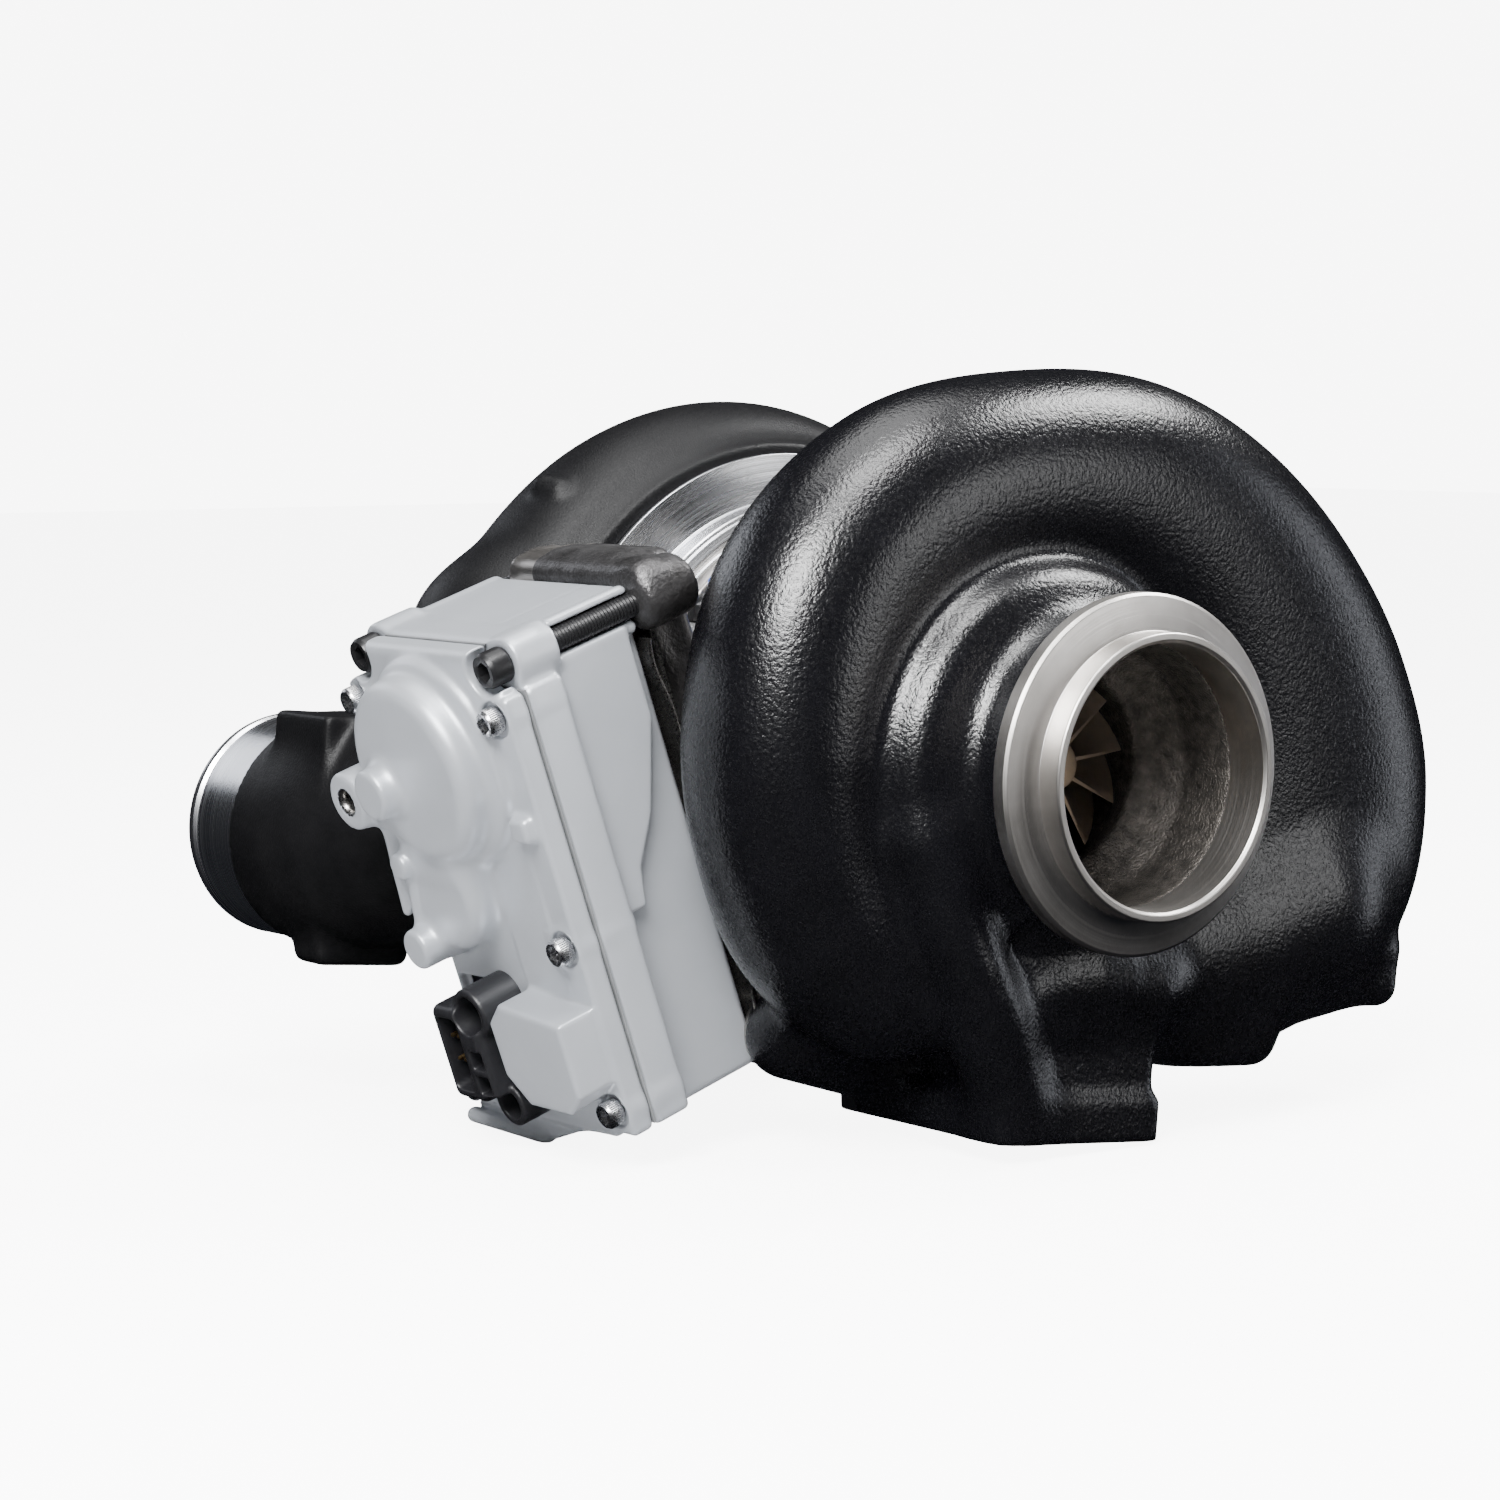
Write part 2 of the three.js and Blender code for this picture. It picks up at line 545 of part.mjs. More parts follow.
function bearingHousing() {
  const { start, end, radius, bore, coreRadius, flange } = BEARING;
  const body = revolve([
    [0, 81], [28, 81], [36.2, 83.6], [37.4, 85], [37.4, 98], [60.3, 98], [60.3, start], [70, start],
    [70, start + 5], [62, start + 5.2], [radius, 151], [57, 155], [flange, 155], [flange, end], [0, end],
  ]);
  const ear = ([y, down]) => join(
    post(9.5, y, down, 75, BODY.back - GAP, 14),
    slab(70, PAD_FACE, Math.min(y, 118), Math.max(y, 160), down - 8, down + 8),
  );
  const arm = tilted(geometryOf(join(
    slab(46, PAD_FACE, 117, 161.5, -58, 40),
    slab(62, PAD_FACE, 117.2, 161.5, -94, 66),
    slab(80.5, PAD_FACE, 117.2, 171, -94, 66),
    ...TOP_SCREWS.map(ear),
  )));
  const drain = block(-24, 24, 118, 154, -80, -48);
  const oilBoss = rod(12, [0, 136, 48], [0, 136, 70], 14);
  const sensorBoss = spoke(9, SENSOR.angle, SENSOR.station, 45, 66, 12);

  const shaftBore = revolve([
    [0, 80], [9.6, 80], [bore, 98], [bore, 156], [20, 156], [20, end + 1], [0, end + 1],
  ], 24);
  const yokeRoom = tilted(geometryOf(cut(
    join(
      slab(-43, 43, DRIVE_STATION - 12, DRIVE_STATION + 12, CROSS_DOWN - 10, 0),
      slab(-51, 51, 122.5, 155.5, -15, 12),
    ),
    ring(0, coreRadius, 110, 160, 24),
  )));
  const crossBore = tilted(post(7.3, DRIVE_STATION, CROSS_DOWN, -58, 77, 16));
  const rodBores = [1, -1].map((side) => (
    tilted(rod(4.8, [-side * ROD_OUT, 90, 0], [-side * ROD_OUT, 125, 0], 12))
  ));
  const gearRoom = tilted(geometryOf(join(
    post(22, DRIVE_STATION, CROSS_DOWN, SECTOR.out0 - 1.5, PAD_FACE + 1, 24),
    post(11.5, DRIVE_STATION, OUTPUT_DOWN, SECTOR.out0 - 1.5, PAD_FACE + 1, 16),
  )));
  const drainPort = join(
    rod(9, [0, 136, -82], [0, 136, -45], 14),
    block(-6, 6, 116, 141, -50, -5),
  );
  const oilPort = join(rod(5, [0, 136, 30], [0, 136, 71], 12), rod(2.2, [0, 136, 5], [0, 136, 32], 8));
  const drainBolts = [[-17, 124], [17, 148]].map(([x, y]) => rod(3.2, [x, y, -81], [x, y, -64], 8));
  const sensorBore = spoke(4.4, SENSOR.angle, SENSOR.station, 46.5, 68, 10);
  const screwHoles = [
    ...TOP_SCREWS.map(([y, down]) => post(4.4, y, down, 72.5, 93, 10)),
    ...LOW_SCREWS.map(([y, down]) => post(4.4, y, down, 67, 86, 10)),
  ].map(tilted);
  const plateBoltHoles = PLATE_BOLTS.angles.map((angle) => (
    axial(3.4, PLATE_BOLTS.radius, angle, PLATE_BOLTS.seat - 1, end + 1, 8)
  ));
  return cut(
    join(body, arm, drain, oilBoss, sensorBoss),
    shaftBore, yokeRoom, crossBore, ...rodBores, gearRoom, drainPort, oilPort, ...drainBolts, sensorBore,
    ...screwHoles, ...plateBoltHoles,
  );
}

function heatShield() {
  return revolve([
    [12.4, 78.6], [33, 78.6], [36.2, 81.2], [36.2, 82.6], [32.6, 80.2], [12.4, 80.2],
  ]);
}

const journal = (index) => (
  ring(SHAFT_RADIUS + 0.4, BEARING.bore - 0.5, JOURNALS[index], JOURNALS[index] + JOURNAL_LENGTH, 16)
);

/** The band that clamps the turbine housing to the bearing housing, split between its two ears. */
function turbineClamp() {
  const { y0, y1, lip, inner, outer, angle, gapWidth } = CLAMP;
  const band = revolve([
    [lip, y0], [outer - 1, y0], [outer, y0 + 1.5], [outer, y1 - 1.5], [outer - 1, y1], [lip, y1],
    [lip, TURBINE_FLANGE.face + 6], [inner, TURBINE_FLANGE.face + 6],
    [inner, TURBINE_FLANGE.start - GAP], [lip, TURBINE_FLANGE.start - GAP],
  ]);
  const opening = block(0, 130, y0 - 9, y1 + 9, -gapWidth / 2, gapWidth / 2);
  const ears = [1, -1].map((side) => (
    block(outer - 2, outer + 14, y0 + 1, y1 - 1, gapWidth / 2, gapWidth / 2 + 4).scale(1, 1, side)
  ));
  const hole = rod(3.4, [outer + 7, (y0 + y1) / 2, -20], [outer + 7, (y0 + y1) / 2, 20], 10);
  const turn = (piece) => piece.rotateY(-angle * DEG);
  return cut(join(cut(band, turn(opening)), ...ears.map(turn)), turn(hole));
}

function clampBolt() {
  const { y0, y1, outer, gapWidth } = CLAMP;
  const [middle, reach] = [(y0 + y1) / 2, outer + 7];
  const seat = gapWidth / 2 + 4 + GAP;
  return join(
    rod(3, [reach, middle, -seat - 1], [reach, middle, 22], 12),
    rod(6, [reach, middle, -seat - 5], [reach, middle, -seat], 6),
  );
}

function clampNut() {
  const { y0, y1, outer, gapWidth } = CLAMP;
  const [middle, reach] = [(y0 + y1) / 2, outer + 7];
  const seat = gapWidth / 2 + 4 + GAP;
  return cut(
    rod(6, [reach, middle, seat], [reach, middle, seat + 7], 6),
    rod(3.3, [reach, middle, 0], [reach, middle, 30], 12),
  );
}

// ---------------------------------------------------------------- compressor side

function diffuserPlate() {
  const { start, stepRadius, rimRadius, rimBack, rimFront, face, pilot, bore } = BACKPLATE;
  const plate = revolve([
    [bore, start], [72.4, start], [74.3, start + 0.1], [stepRadius, start + 3], [stepRadius, 174],
    [rimRadius - 2, rimBack - 0.4], [rimRadius, rimBack], [rimRadius, rimFront], [pilot, rimFront],
    [pilot, face], [46, face], [44, face - 2], [bore, face - 2],
  ], 28);
  const holes = PLATE_BOLTS.angles.map((angle) => (
    axial(3.4, PLATE_BOLTS.radius, angle, start - 1, start + 12, 8)
  ));
  return cut(plate, ...holes);
}

const hexBolt = (radius, headRadius, reach, angle, seat, tip) => join(
  axial(headRadius, reach, angle, seat - 5, seat - GAP, 6),
  axial(radius, reach, angle, seat - 1, tip, 10),
);

// outer radius of the scroll by angle: it grows from the lower right over the top to the left
const SCROLL_RIM = [
  [-150, 96], [-90, 99], [-30, 103], [30, 107], [90, 111], [125, 115], [150, 120], [168, 127], [182, 132],
];

function scrollSection(inset) {
  return (angle) => {
    const rim = eased(SCROLL_RIM, angle) - inset;
    const heel = SCROLL.innerRadius + inset;
    const half = (rim - heel) / 2;
    return {
      radius: (rim + heel) / 2,
      half,
      station: SCROLL.station,
      depth: Math.min(half, SCROLL.halfDepth - inset),
      power: 2.2,
    };
  };
}

/** The elbow from the scroll's end, going down, to the discharge spigot, going along +Y. */
function elbow(radiusAt, start, end) {
  const path = new THREE.CatmullRomCurve3([
    new THREE.Vector3(-96, SCROLL.station, 8),
    new THREE.Vector3(-100, SCROLL.station + 5, -18),
    new THREE.Vector3(-111, SCROLL.station + 25, -38),
    new THREE.Vector3(-117.5, SCROLL.station + 50, DISCHARGE.z),
    new THREE.Vector3(DISCHARGE.x, SCROLL.station + 75, DISCHARGE.z),
    new THREE.Vector3(DISCHARGE.x, DISCHARGE.end, DISCHARGE.z),
  ]);
  const tube = new THREE.CylinderGeometry(1, 1, 1, 12, 6);
  const across = new THREE.Vector3();
  const other = new THREE.Vector3();
  return bend(tube, (u, height, v) => {
    const t = start + (end - start) * (height + 0.5);
    const tangent = path.getTangent(t);
    const radius = radiusAt(t);
    across.set(-1, 0, 0).addScaledVector(tangent, tangent.x).normalize();
    other.crossVectors(tangent, across);
    return path.getPoint(t).addScaledVector(across, u * radius).addScaledVector(other, v * radius).toArray();
  });
}

function compressorCover() {
  const { radius, bore, end } = AIR_INLET;
  const start = BACKPLATE.rimFront + GAP;
  const shell = revolve([
    [0, start], [97, start], [97, 186], [66, 222], [radius, 242], [radius, end - 6],
    [radius + 1.2, end - 4], [radius + 1.2, end], [0, end],
  ]);
  const scroll = snail(SCROLL.from, SCROLL.to, scrollSection(0), 10, 20);
  const outerElbow = elbow((t) => 29.5 + 9.5 * Math.min(1, t * 2), 0, 0.82);
  const spigot = revolve([
    [0, 285], [DISCHARGE.hoseRadius, 285], [DISCHARGE.hoseRadius, 295], [DISCHARGE.beadRadius, 297.5],
    [DISCHARGE.beadRadius, DISCHARGE.end], [0, DISCHARGE.end],
  ], 24).translate(DISCHARGE.x, 0, DISCHARGE.z);
  const neck = rod(38.6, [DISCHARGE.x, 262, DISCHARGE.z], [DISCHARGE.x, 286, DISCHARGE.z], 24);
  const boss = block(-150, -112, 226, 262, -12, 2);

  const { face, pilot } = BACKPLATE;
  const contour = [0, 0.45, 1].map((u) => compressorTip(u, 0.8));
  const airPath = revolve([
    [0, face - 6], [pilot + 1.2, face - 6], [pilot + 1.2, face + GAP], [78, face + GAP], [78, contour[0][1]],
    ...contour, [34, 232], [bore, 262], [bore, end + 1], [0, end + 1],
  ], 24);
  const passage = join(
    snail(SCROLL.from + 8, SCROLL.to, scrollSection(SCROLL.wall), 6, 12),
    ring(70, 84, face - 1, SCROLL.station - 8, 16),
    elbow((t) => 25 + 7.5 * Math.min(1, t * 2), 0, 1),
    rod(DISCHARGE.bore, [DISCHARGE.x, 290, DISCHARGE.z], [DISCHARGE.x, 303, DISCHARGE.z], 16),
  );
  return cut(join(shell, scroll, outerElbow, neck, spigot, boss), airPath, passage);
}

// ---------------------------------------------------------------- actuator

/** Round bosses at the given places, each bridged to the side of the actuator's body. */
const screwBosses = (places, radius, out0, out1) => places.map(([y, down]) => join(
  post(radius, y, down, out0, out1),
  slab(
    out0, out1, Math.min(y, BODY.y1 - 3), Math.max(y, BODY.y0 + 3),
    down - radius * 0.9, down + radius * 0.9,
  ),
));

function actuatorHousing() {
  const { back, front, y0, y1, top, bottom, wall } = BODY;
  const shell = join(
    slab(back, front, y0, y1, top, bottom),
    slab(front - RIM.depth, front, RIM.y0, RIM.y1, RIM.top, RIM.bottom),
    ...screwBosses(TOP_SCREWS, 8, back, front),
    ...screwBosses(LID_SCREWS, 6.2, front - 22, front),
  );
  const hollow = slab(back + wall + 1, front + 1, y0 + wall, y1 - wall, top + wall, bottom - wall);
  const towers = join(
    post(10, DRIVE_STATION, OUTPUT_DOWN, back + 1, front + 1, 12),
    post(5.5, DRIVE_STATION, IDLER_DOWN, back + 1, front + 1, 8),
    post(11, DRIVE_STATION, MOTOR_DOWN, back + 1, back + 8, 12),
    ...TOP_SCREWS.map(([y, down]) => post(7, y, down, back + 1, front, 12)),
    ...LOW_SCREWS.map(([y, down]) => post(9, y, down, back + 1, back + 10, 12)),
  );
  const bores = [
    post(8.4, DRIVE_STATION, OUTPUT_DOWN, back - 1, front + 3, 12),
    post(2.8, DRIVE_STATION, IDLER_DOWN, 118, front + 3, 10),
    post(8.3, DRIVE_STATION, MOTOR_DOWN, back + 4, back + 9, 12),
    ...TOP_SCREWS.map(([y, down]) => post(4.4, y, down, back - 1, front + 1, 10)),
    ...LOW_SCREWS.map(([y, down]) => post(4.4, y, down, back - 1, front + 1, 10)),
    ...LID_SCREWS.map(([y, down]) => post(2.6, y, down, front - 16, front + 1, 8)),
  ];
  return cut(join(cut(shell, hollow), towers), ...bores);
}

function lidOutline(out0, out1) {
  const { y0, y1, top, bottom } = BODY;
  return join(
    slab(out0, out1, y0, y1, top, bottom),
    slab(out0, out1, RIM.y0, RIM.y1, RIM.top, RIM.bottom),
    ...screwBosses(LID_SCREWS, 6.2, out0, out1),
  );
}

/** The openings that leave the two corners free for the long screws' heads. */
const cornerNotches = (out0, out1) => TOP_SCREWS.map(([y, down]) => post(8.6, y, down, out0, out1, 14));

function actuatorGasket() {
  const { y0, y1, top, bottom, front, wall } = BODY;
  const [out0, out1] = [front + GAP, LID.seat - GAP];
  return cut(
    lidOutline(out0, out1),
    slab(out0 - 1, out1 + 1, y0 + wall, y1 - wall, top + 14, bottom - wall),
    ...cornerNotches(out0 - 1, out1 + 1),
    ...LID_SCREWS.map(([y, down]) => post(3.4, y, down, out0 - 1, out1 + 1, 8)),
  );
}

function actuatorCover() {
  const { y0, y1, top, bottom, wall } = BODY;
  const { seat, flange, dome, domeCeiling } = LID;
  const [bulgeStation, bulgeDown] = [149, -16];
  const drum = (radius, bulgeRadius, out0, out1) => join(
    post(radius, DRIVE_STATION, OUTPUT_DOWN, out0, out1, 20),
    post(bulgeRadius, bulgeStation, bulgeDown, out0, out1, 18),
    slab(out0, out1, bulgeStation - bulgeRadius, bulgeStation + bulgeRadius - 3, OUTPUT_DOWN + 8, bulgeDown),
  );
  const outside = join(
    lidOutline(seat, flange),
    drum(30.5, 22, flange - 1, dome),
    post(13, 152, -51, dome - 1, 171, 16, 11),
    post(9.5, 174, -44, flange - 2, 170, 12),
    post(9, 160, 2, flange - 1, 168, 14),
    slab(flange - 1, 166, 97, 134.5, 20, 52),
    slab(seat, flange - 2, 140, 186, bottom - 2, bottom + 9),
  );
  const hollow = join(
    drum(26.8, 18.3, seat - 1, domeCeiling),
    post(10.6, DRIVE_STATION, IDLER_DOWN, seat - 1, OUTPUT_GEAR.out1 + 4, 12),
    slab(seat - 1, flange - 3, y0 + wall, y1 - wall, top + 14, bottom - wall),
    slab(seat - 1, 162, 113, 131, 24, 50),
  );
  const bores = [
    ...cornerNotches(seat - 1, flange + 1),
    ...LID_SCREWS.map(([y, down]) => post(3, y, down, seat - 1, flange + 1, 8)),
    post(4, 174, -44, flange + 4, 171, 10),
    slab(seat - 1, flange + 1, 137.5, 156, 28, 50),
  ];
  return cut(outside, hollow, ...bores);
}

function connector() {
  const shroud = slab(LID.flange + GAP, 168, 135, 162, 24, 52);
  const neck = slab(138, LID.flange + 1, 138, 155.5, 28.5, 49.5);
  const ports = [142, 155].map((y) => slab(156, 164, y - 5, y + 5, 34, 53));
  return cut(join(shroud, neck), ...ports);
}

/** The plate between the actuator and the hot bearing housing: a sheet on a thick spacer. */
function actuatorPlate() {
  const [out0, out1] = [PAD_FACE + GAP, BODY.back - GAP];
  return cut(
    join(
      slab(out0 + 2.4, out1 - 3.6, 103.5, 173, -76, 71),
      slab(out0, out1, 116, 171, -76, 66),
    ),
    post(12.2, DRIVE_STATION, OUTPUT_DOWN, out0 - 1, out1 + 1, 16),
    post(22, DRIVE_STATION, CROSS_DOWN, out0 - 1, out1 + 1, 20),
    ...LOW_SCREWS.map(([y, down]) => post(4.4, y, down, out0 - 1, out1 + 1, 10)),
  );
}

/** A socket head screw along the actuator's `out` axis, seated at `seat`. */
function socketScrew(radius, seat, tip, y, down) {
  const headRadius = radius * 1.6;
  const headTop = seat + radius * 2;
  const socket = new THREE.CylinderGeometry(radius * 0.85, radius * 0.85, radius, 6)
    .rotateZ(Math.PI / 2)
    .translate(-headTop, y, -down);
  const whole = join(
    post(headRadius, y, down, seat + GAP, headTop, 8),
    post(radius, y, down, tip, seat + 1, 6),
  );
  return cut(whole, socket);
}

function outputShaft() {
  return join(
    post(5.5, DRIVE_STATION, OUTPUT_DOWN, SECTOR.out1 + 2.5, OUTPUT_GEAR.out0 - GAP, 16),
    post(4, DRIVE_STATION, OUTPUT_DOWN, OUTPUT_GEAR.out0 - 1, OUTPUT_GEAR.out1 + 2, 12),
    gear(OUTPUT_PINION, OUTPUT_DOWN, SECTOR.out0, SECTOR.out1 + 3, gapTowards(DOWNWARD, OUTPUT_PINION)),
  );
}

/** The toothed sector on the cross shaft, which faces the output pinion above it. */
function sectorGear() {
  const wheel = gear(SECTOR, CROSS_DOWN, SECTOR.out0, SECTOR.out1, toothTowards(-DOWNWARD));
  const reach = 30;
  const wedge = new THREE.Shape();
  wedge.moveTo(0, 0);
  [38, 90, 142].forEach((angle) => (
    wedge.lineTo(reach * Math.cos(angle * DEG), reach * Math.sin(angle * DEG))
  ));
  const window = facing(new THREE.ExtrudeGeometry(wedge, { depth: 20, bevelEnabled: false }))
    .translate(-SECTOR.out0 + 5, DRIVE_STATION, -CROSS_DOWN);
  return cut(
    join(common(wheel, window), post(9.5, DRIVE_STATION, CROSS_DOWN, SECTOR.out0, SECTOR.out1, 16)),
    post(5.4, DRIVE_STATION, CROSS_DOWN, 60, 80, 16),
  );
}

/** The fork on the cross shaft, with its two arms swung to the open end of the travel. */
function yoke() {
  const arms = [1, -1].map((side) => join(
    slab(side > 0 ? 35 : -41, side > 0 ? 41 : -35, -5.5, 5.5, 0, LEVER + 5),
    post(3, 0, LEVER, side * 40, side * (ROD_OUT + 3), 12),
  ));
  const fork = cut(join(post(9, 0, 0, -42, 42, 14), ...arms), post(5.4, 0, 0, -60, 60, 16));
  return geometryOf(fork)
    .rotateX(LEVER_SWING)
    .translate(0, DRIVE_STATION, -CROSS_DOWN);
}

/** The intermediate gear: a large wheel and a small pinion in one piece, turning on a pin. */
function idlerGear() {
  const { out0, out1 } = IDLER_GEAR;
  return cut(
    join(
      gear(IDLER_GEAR, IDLER_DOWN, out0, out1, toothTowards(DOWNWARD)),
      gear(IDLER_PINION, IDLER_DOWN, out1 - 1, OUTPUT_GEAR.out1 + 0.5, gapTowards(-DOWNWARD, IDLER_PINION)),
    ),
    post(2.8, DRIVE_STATION, IDLER_DOWN, 140, 160, 10),
  );
}

function motorRotor() {
  const [out0, out1] = [IDLER_GEAR.out0 - 0.6, IDLER_GEAR.out1 + 0.6];
  return join(
    post(12.6, DRIVE_STATION, MOTOR_DOWN, 103, 131, 20),
    post(3, DRIVE_STATION, MOTOR_DOWN, BODY.back + 4 + GAP, IDLER_GEAR.out1, 12),
    gear(MOTOR_PINION, MOTOR_DOWN, out0, out1, gapTowards(-DOWNWARD, MOTOR_PINION)),
  );
}

function motorStator() {
  const barrel = [];
  const [out0, out1] = [101, 133];
  const teeth = 9;
  for (let i = 0; i < teeth; i += 1) {
    const angle = (i * 2 * Math.PI) / teeth;
    barrel.push(
      slab(out0 + 3, out1 - 3, DRIVE_STATION + 14, DRIVE_STATION + 20, MOTOR_DOWN - 2.4, MOTOR_DOWN + 2.4)
        .translate(0, -DRIVE_STATION, MOTOR_DOWN)
        .rotateX(angle)
        .translate(0, DRIVE_STATION, -MOTOR_DOWN),
    );
  }
  const can = cut(
    post(21.5, DRIVE_STATION, MOTOR_DOWN, out0, out1, 20),
    post(18.6, DRIVE_STATION, MOTOR_DOWN, out0 - 1, out1 + 1, 20),
  );
  return join(can, ...barrel);
}

// ---------------------------------------------------------------- assembly

const turbocharger = new THREE.Group();
const core = new THREE.Group();
core.position.set(0, -WEB_STATION, SHAFT_HEIGHT);
turbocharger.add(core);
const actuator = new THREE.Group();
actuator.rotation.y = -ACTUATOR_TURN;
core.add(actuator);

function place(parent, name, piece, material) {
  const mesh = new THREE.Mesh(geometryOf(piece), material);
  mesh.name = name;
  parent.add(mesh);
}

// turbine side
place(core, 'turbine_housing', turbineHousing(), MATERIAL.blackCasting);
place(core, 'turbine_outlet_flange', outletFlange(), MATERIAL.bareIron);
place(core, 'shroud_plate', shroudPlate(), MATERIAL.steel);
place(core, 'nozzle_ring', nozzleRing(), MATERIAL.steel);
place(core, 'push_rod_near', pushRod(1), MATERIAL.steel);
place(core, 'push_rod_far', pushRod(-1), MATERIAL.steel);
place(core, 'heat_shield', heatShield(), MATERIAL.steel);
place(core, 'turbine_clamp', turbineClamp(), MATERIAL.steel);
const atClampEars = (piece) => geometryOf(piece).rotateY(-CLAMP.angle * DEG);
place(core, 'turbine_clamp_bolt', atClampEars(clampBolt()), MATERIAL.steel);
place(core, 'turbine_clamp_nut', atClampEars(clampNut()), MATERIAL.steel);
place(core, 'turbine_seal_ring', ring(8.95, 9.4, 88, 90, 16), MATERIAL.steel);

// rotor and its bearings
place(core, 'turbine_wheel', turbineWheel(), MATERIAL.wheelAlloy);
place(core, 'compressor_wheel', compressorWheel(), MATERIAL.machinedAluminium);
place(core, 'rotor_nut', rotorNut(), MATERIAL.steel);
place(core, 'thrust_collar', ring(4.4, 8.6, 157, 159.8, 12), MATERIAL.steel);
place(core, 'oil_slinger', revolve([
  [4.4, 162.4], [10, 162.4], [10, 164.6], [8, 165.2], [8, 180.9], [4.4, 180.9],
], 14), MATERIAL.steel);
place(core, 'journal_bearing_turbine', journal(0), MATERIAL.bronze);
place(core, 'journal_bearing_compressor', journal(1), MATERIAL.bronze);
place(core, 'thrust_bearing', ring(6.2, 19.6, 160.1, 162.1, 16), MATERIAL.bronze);
place(core, 'oil_seal_plate', revolve([
  [8.6, 166.2], [10.8, 166.2], [10.8, 162.5], [19.6, 162.5], [25.6, 164.6], [25.6, 178], [8.6, 178],
], 16), MATERIAL.machinedAluminium);

// bearing housing and back plate
place(core, 'bearing_housing', bearingHousing(), MATERIAL.darkCasting);
place(core, 'diffuser_plate', diffuserPlate(), MATERIAL.machinedAluminium);
PLATE_BOLTS.angles.forEach((angle, i) => (
  place(core, `plate_bolt_${i + 1}`, hexBolt(3, 5, PLATE_BOLTS.radius, angle, PLATE_BOLTS.seat, 172),
    MATERIAL.blackSteel)
));
place(core, 'compressor_cover', compressorCover(), MATERIAL.satinBlack);
place(core, 'speed_sensor', join(
  spoke(4, SENSOR.angle, SENSOR.station, 48, 70, 10),
  spoke(6.5, SENSOR.angle, SENSOR.station, 66 + GAP, 82, 14),
), MATERIAL.bluePlastic);
place(core, 'oil_inlet_adapter', cut(
  join(
    rod(4.6, [0, 136, 56], [0, 136, 72], 12),
    rod(10, [0, 136, 70 + GAP], [0, 136, 76], 6),
    rod(7, [0, 136, 75], [0, 136, 86], 14),
  ),
  rod(2.6, [0, 136, 54], [0, 136, 88], 10),
), MATERIAL.steel);

// actuator
place(actuator, 'actuator_plate', actuatorPlate(), MATERIAL.steel);
place(actuator, 'actuator_housing', actuatorHousing(), MATERIAL.silverPaint);
place(actuator, 'actuator_gasket', actuatorGasket(), MATERIAL.rubber);
place(actuator, 'actuator_cover', actuatorCover(), MATERIAL.silverPaint);
place(actuator, 'connector', connector(), MATERIAL.plastic);
place(actuator, 'circuit_board', slab(135.7, 137.3, 112, 160, 33, 62), MATERIAL.board);
TOP_SCREWS.forEach(([y, down], i) => (
  place(actuator, `mount_screw_${i + 1}`, socketScrew(4, BODY.front, 74, y, down), MATERIAL.blackSteel)
));
LOW_SCREWS.forEach(([y, down], i) => (
  place(actuator, `mount_screw_${i + 3}`, socketScrew(4, BODY.back + 10, 69, y, down), MATERIAL.blackSteel)
));
LID_SCREWS.forEach(([y, down], i) => {
  const screw = socketScrew(2.2, LID.flange, BODY.front - 14, y, down);
  place(actuator, `cover_screw_${i + 1}`, screw, MATERIAL.steel);
});
place(actuator, 'cross_shaft', post(5, DRIVE_STATION, CROSS_DOWN, -56, SECTOR.out1 + 2, 16), MATERIAL.steel);
const crossBush = (out0, out1) => cut(
  post(6.9, DRIVE_STATION, CROSS_DOWN, out0, out1, 16),
  post(5.35, DRIVE_STATION, CROSS_DOWN, out0 - 1, out1 + 1, 16),
);
place(actuator, 'cross_bush_inner', crossBush(-56, -45), MATERIAL.bronze);
place(actuator, 'cross_bush_outer', crossBush(45, 62), MATERIAL.bronze);
place(actuator, 'yoke', yoke(), MATERIAL.steel);
place(actuator, 'sector_gear', sectorGear(), MATERIAL.steel);
place(actuator, 'output_shaft', outputShaft(), MATERIAL.steel);
place(actuator, 'output_bush', cut(
  post(8, DRIVE_STATION, OUTPUT_DOWN, BODY.back, 118, 16),
  post(5.95, DRIVE_STATION, OUTPUT_DOWN, BODY.back - 1, 119, 16),
), MATERIAL.bronze);
place(actuator, 'output_gear', gear(OUTPUT_GEAR, OUTPUT_DOWN, OUTPUT_GEAR.out0, OUTPUT_GEAR.out1,
  toothTowards(DOWNWARD), 4.4), MATERIAL.bronze);
place(actuator, 'idler_gear', idlerGear(), MATERIAL.steel);
const idlerPin = post(2.4, DRIVE_STATION, IDLER_DOWN, 119, OUTPUT_GEAR.out1 + 2, 10);
place(actuator, 'idler_pin', idlerPin, MATERIAL.steel);
place(actuator, 'motor_stator', motorStator(), MATERIAL.copper);
place(actuator, 'motor_rotor', motorRotor(), MATERIAL.steel);
place(actuator, 'motor_bearing', cut(
  post(8, DRIVE_STATION, MOTOR_DOWN, BODY.back + 4 + GAP, BODY.back + 8, 16),
  post(3.4, DRIVE_STATION, MOTOR_DOWN, BODY.back, BODY.back + 10, 16),
), MATERIAL.steel);

export default turbocharger;
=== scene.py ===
"""Looks of the turbocharger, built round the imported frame.

Castings are grown as signed distance fields, in millimetres and negative inside, so that their parts
flow into each other with fillets, and are then meshed. Turned and milled pieces are lofted from
rings. Two working frames are used. The core frame has its origin on the shaft at the outlet
flange, x to the right, y along the shaft (the station) and z up. The actuator's frame has `out`,
away from the shaft, then the station, then `down`, along the actuator.
"""

import json
from math import atan2, cos, pi, radians, sin, sqrt

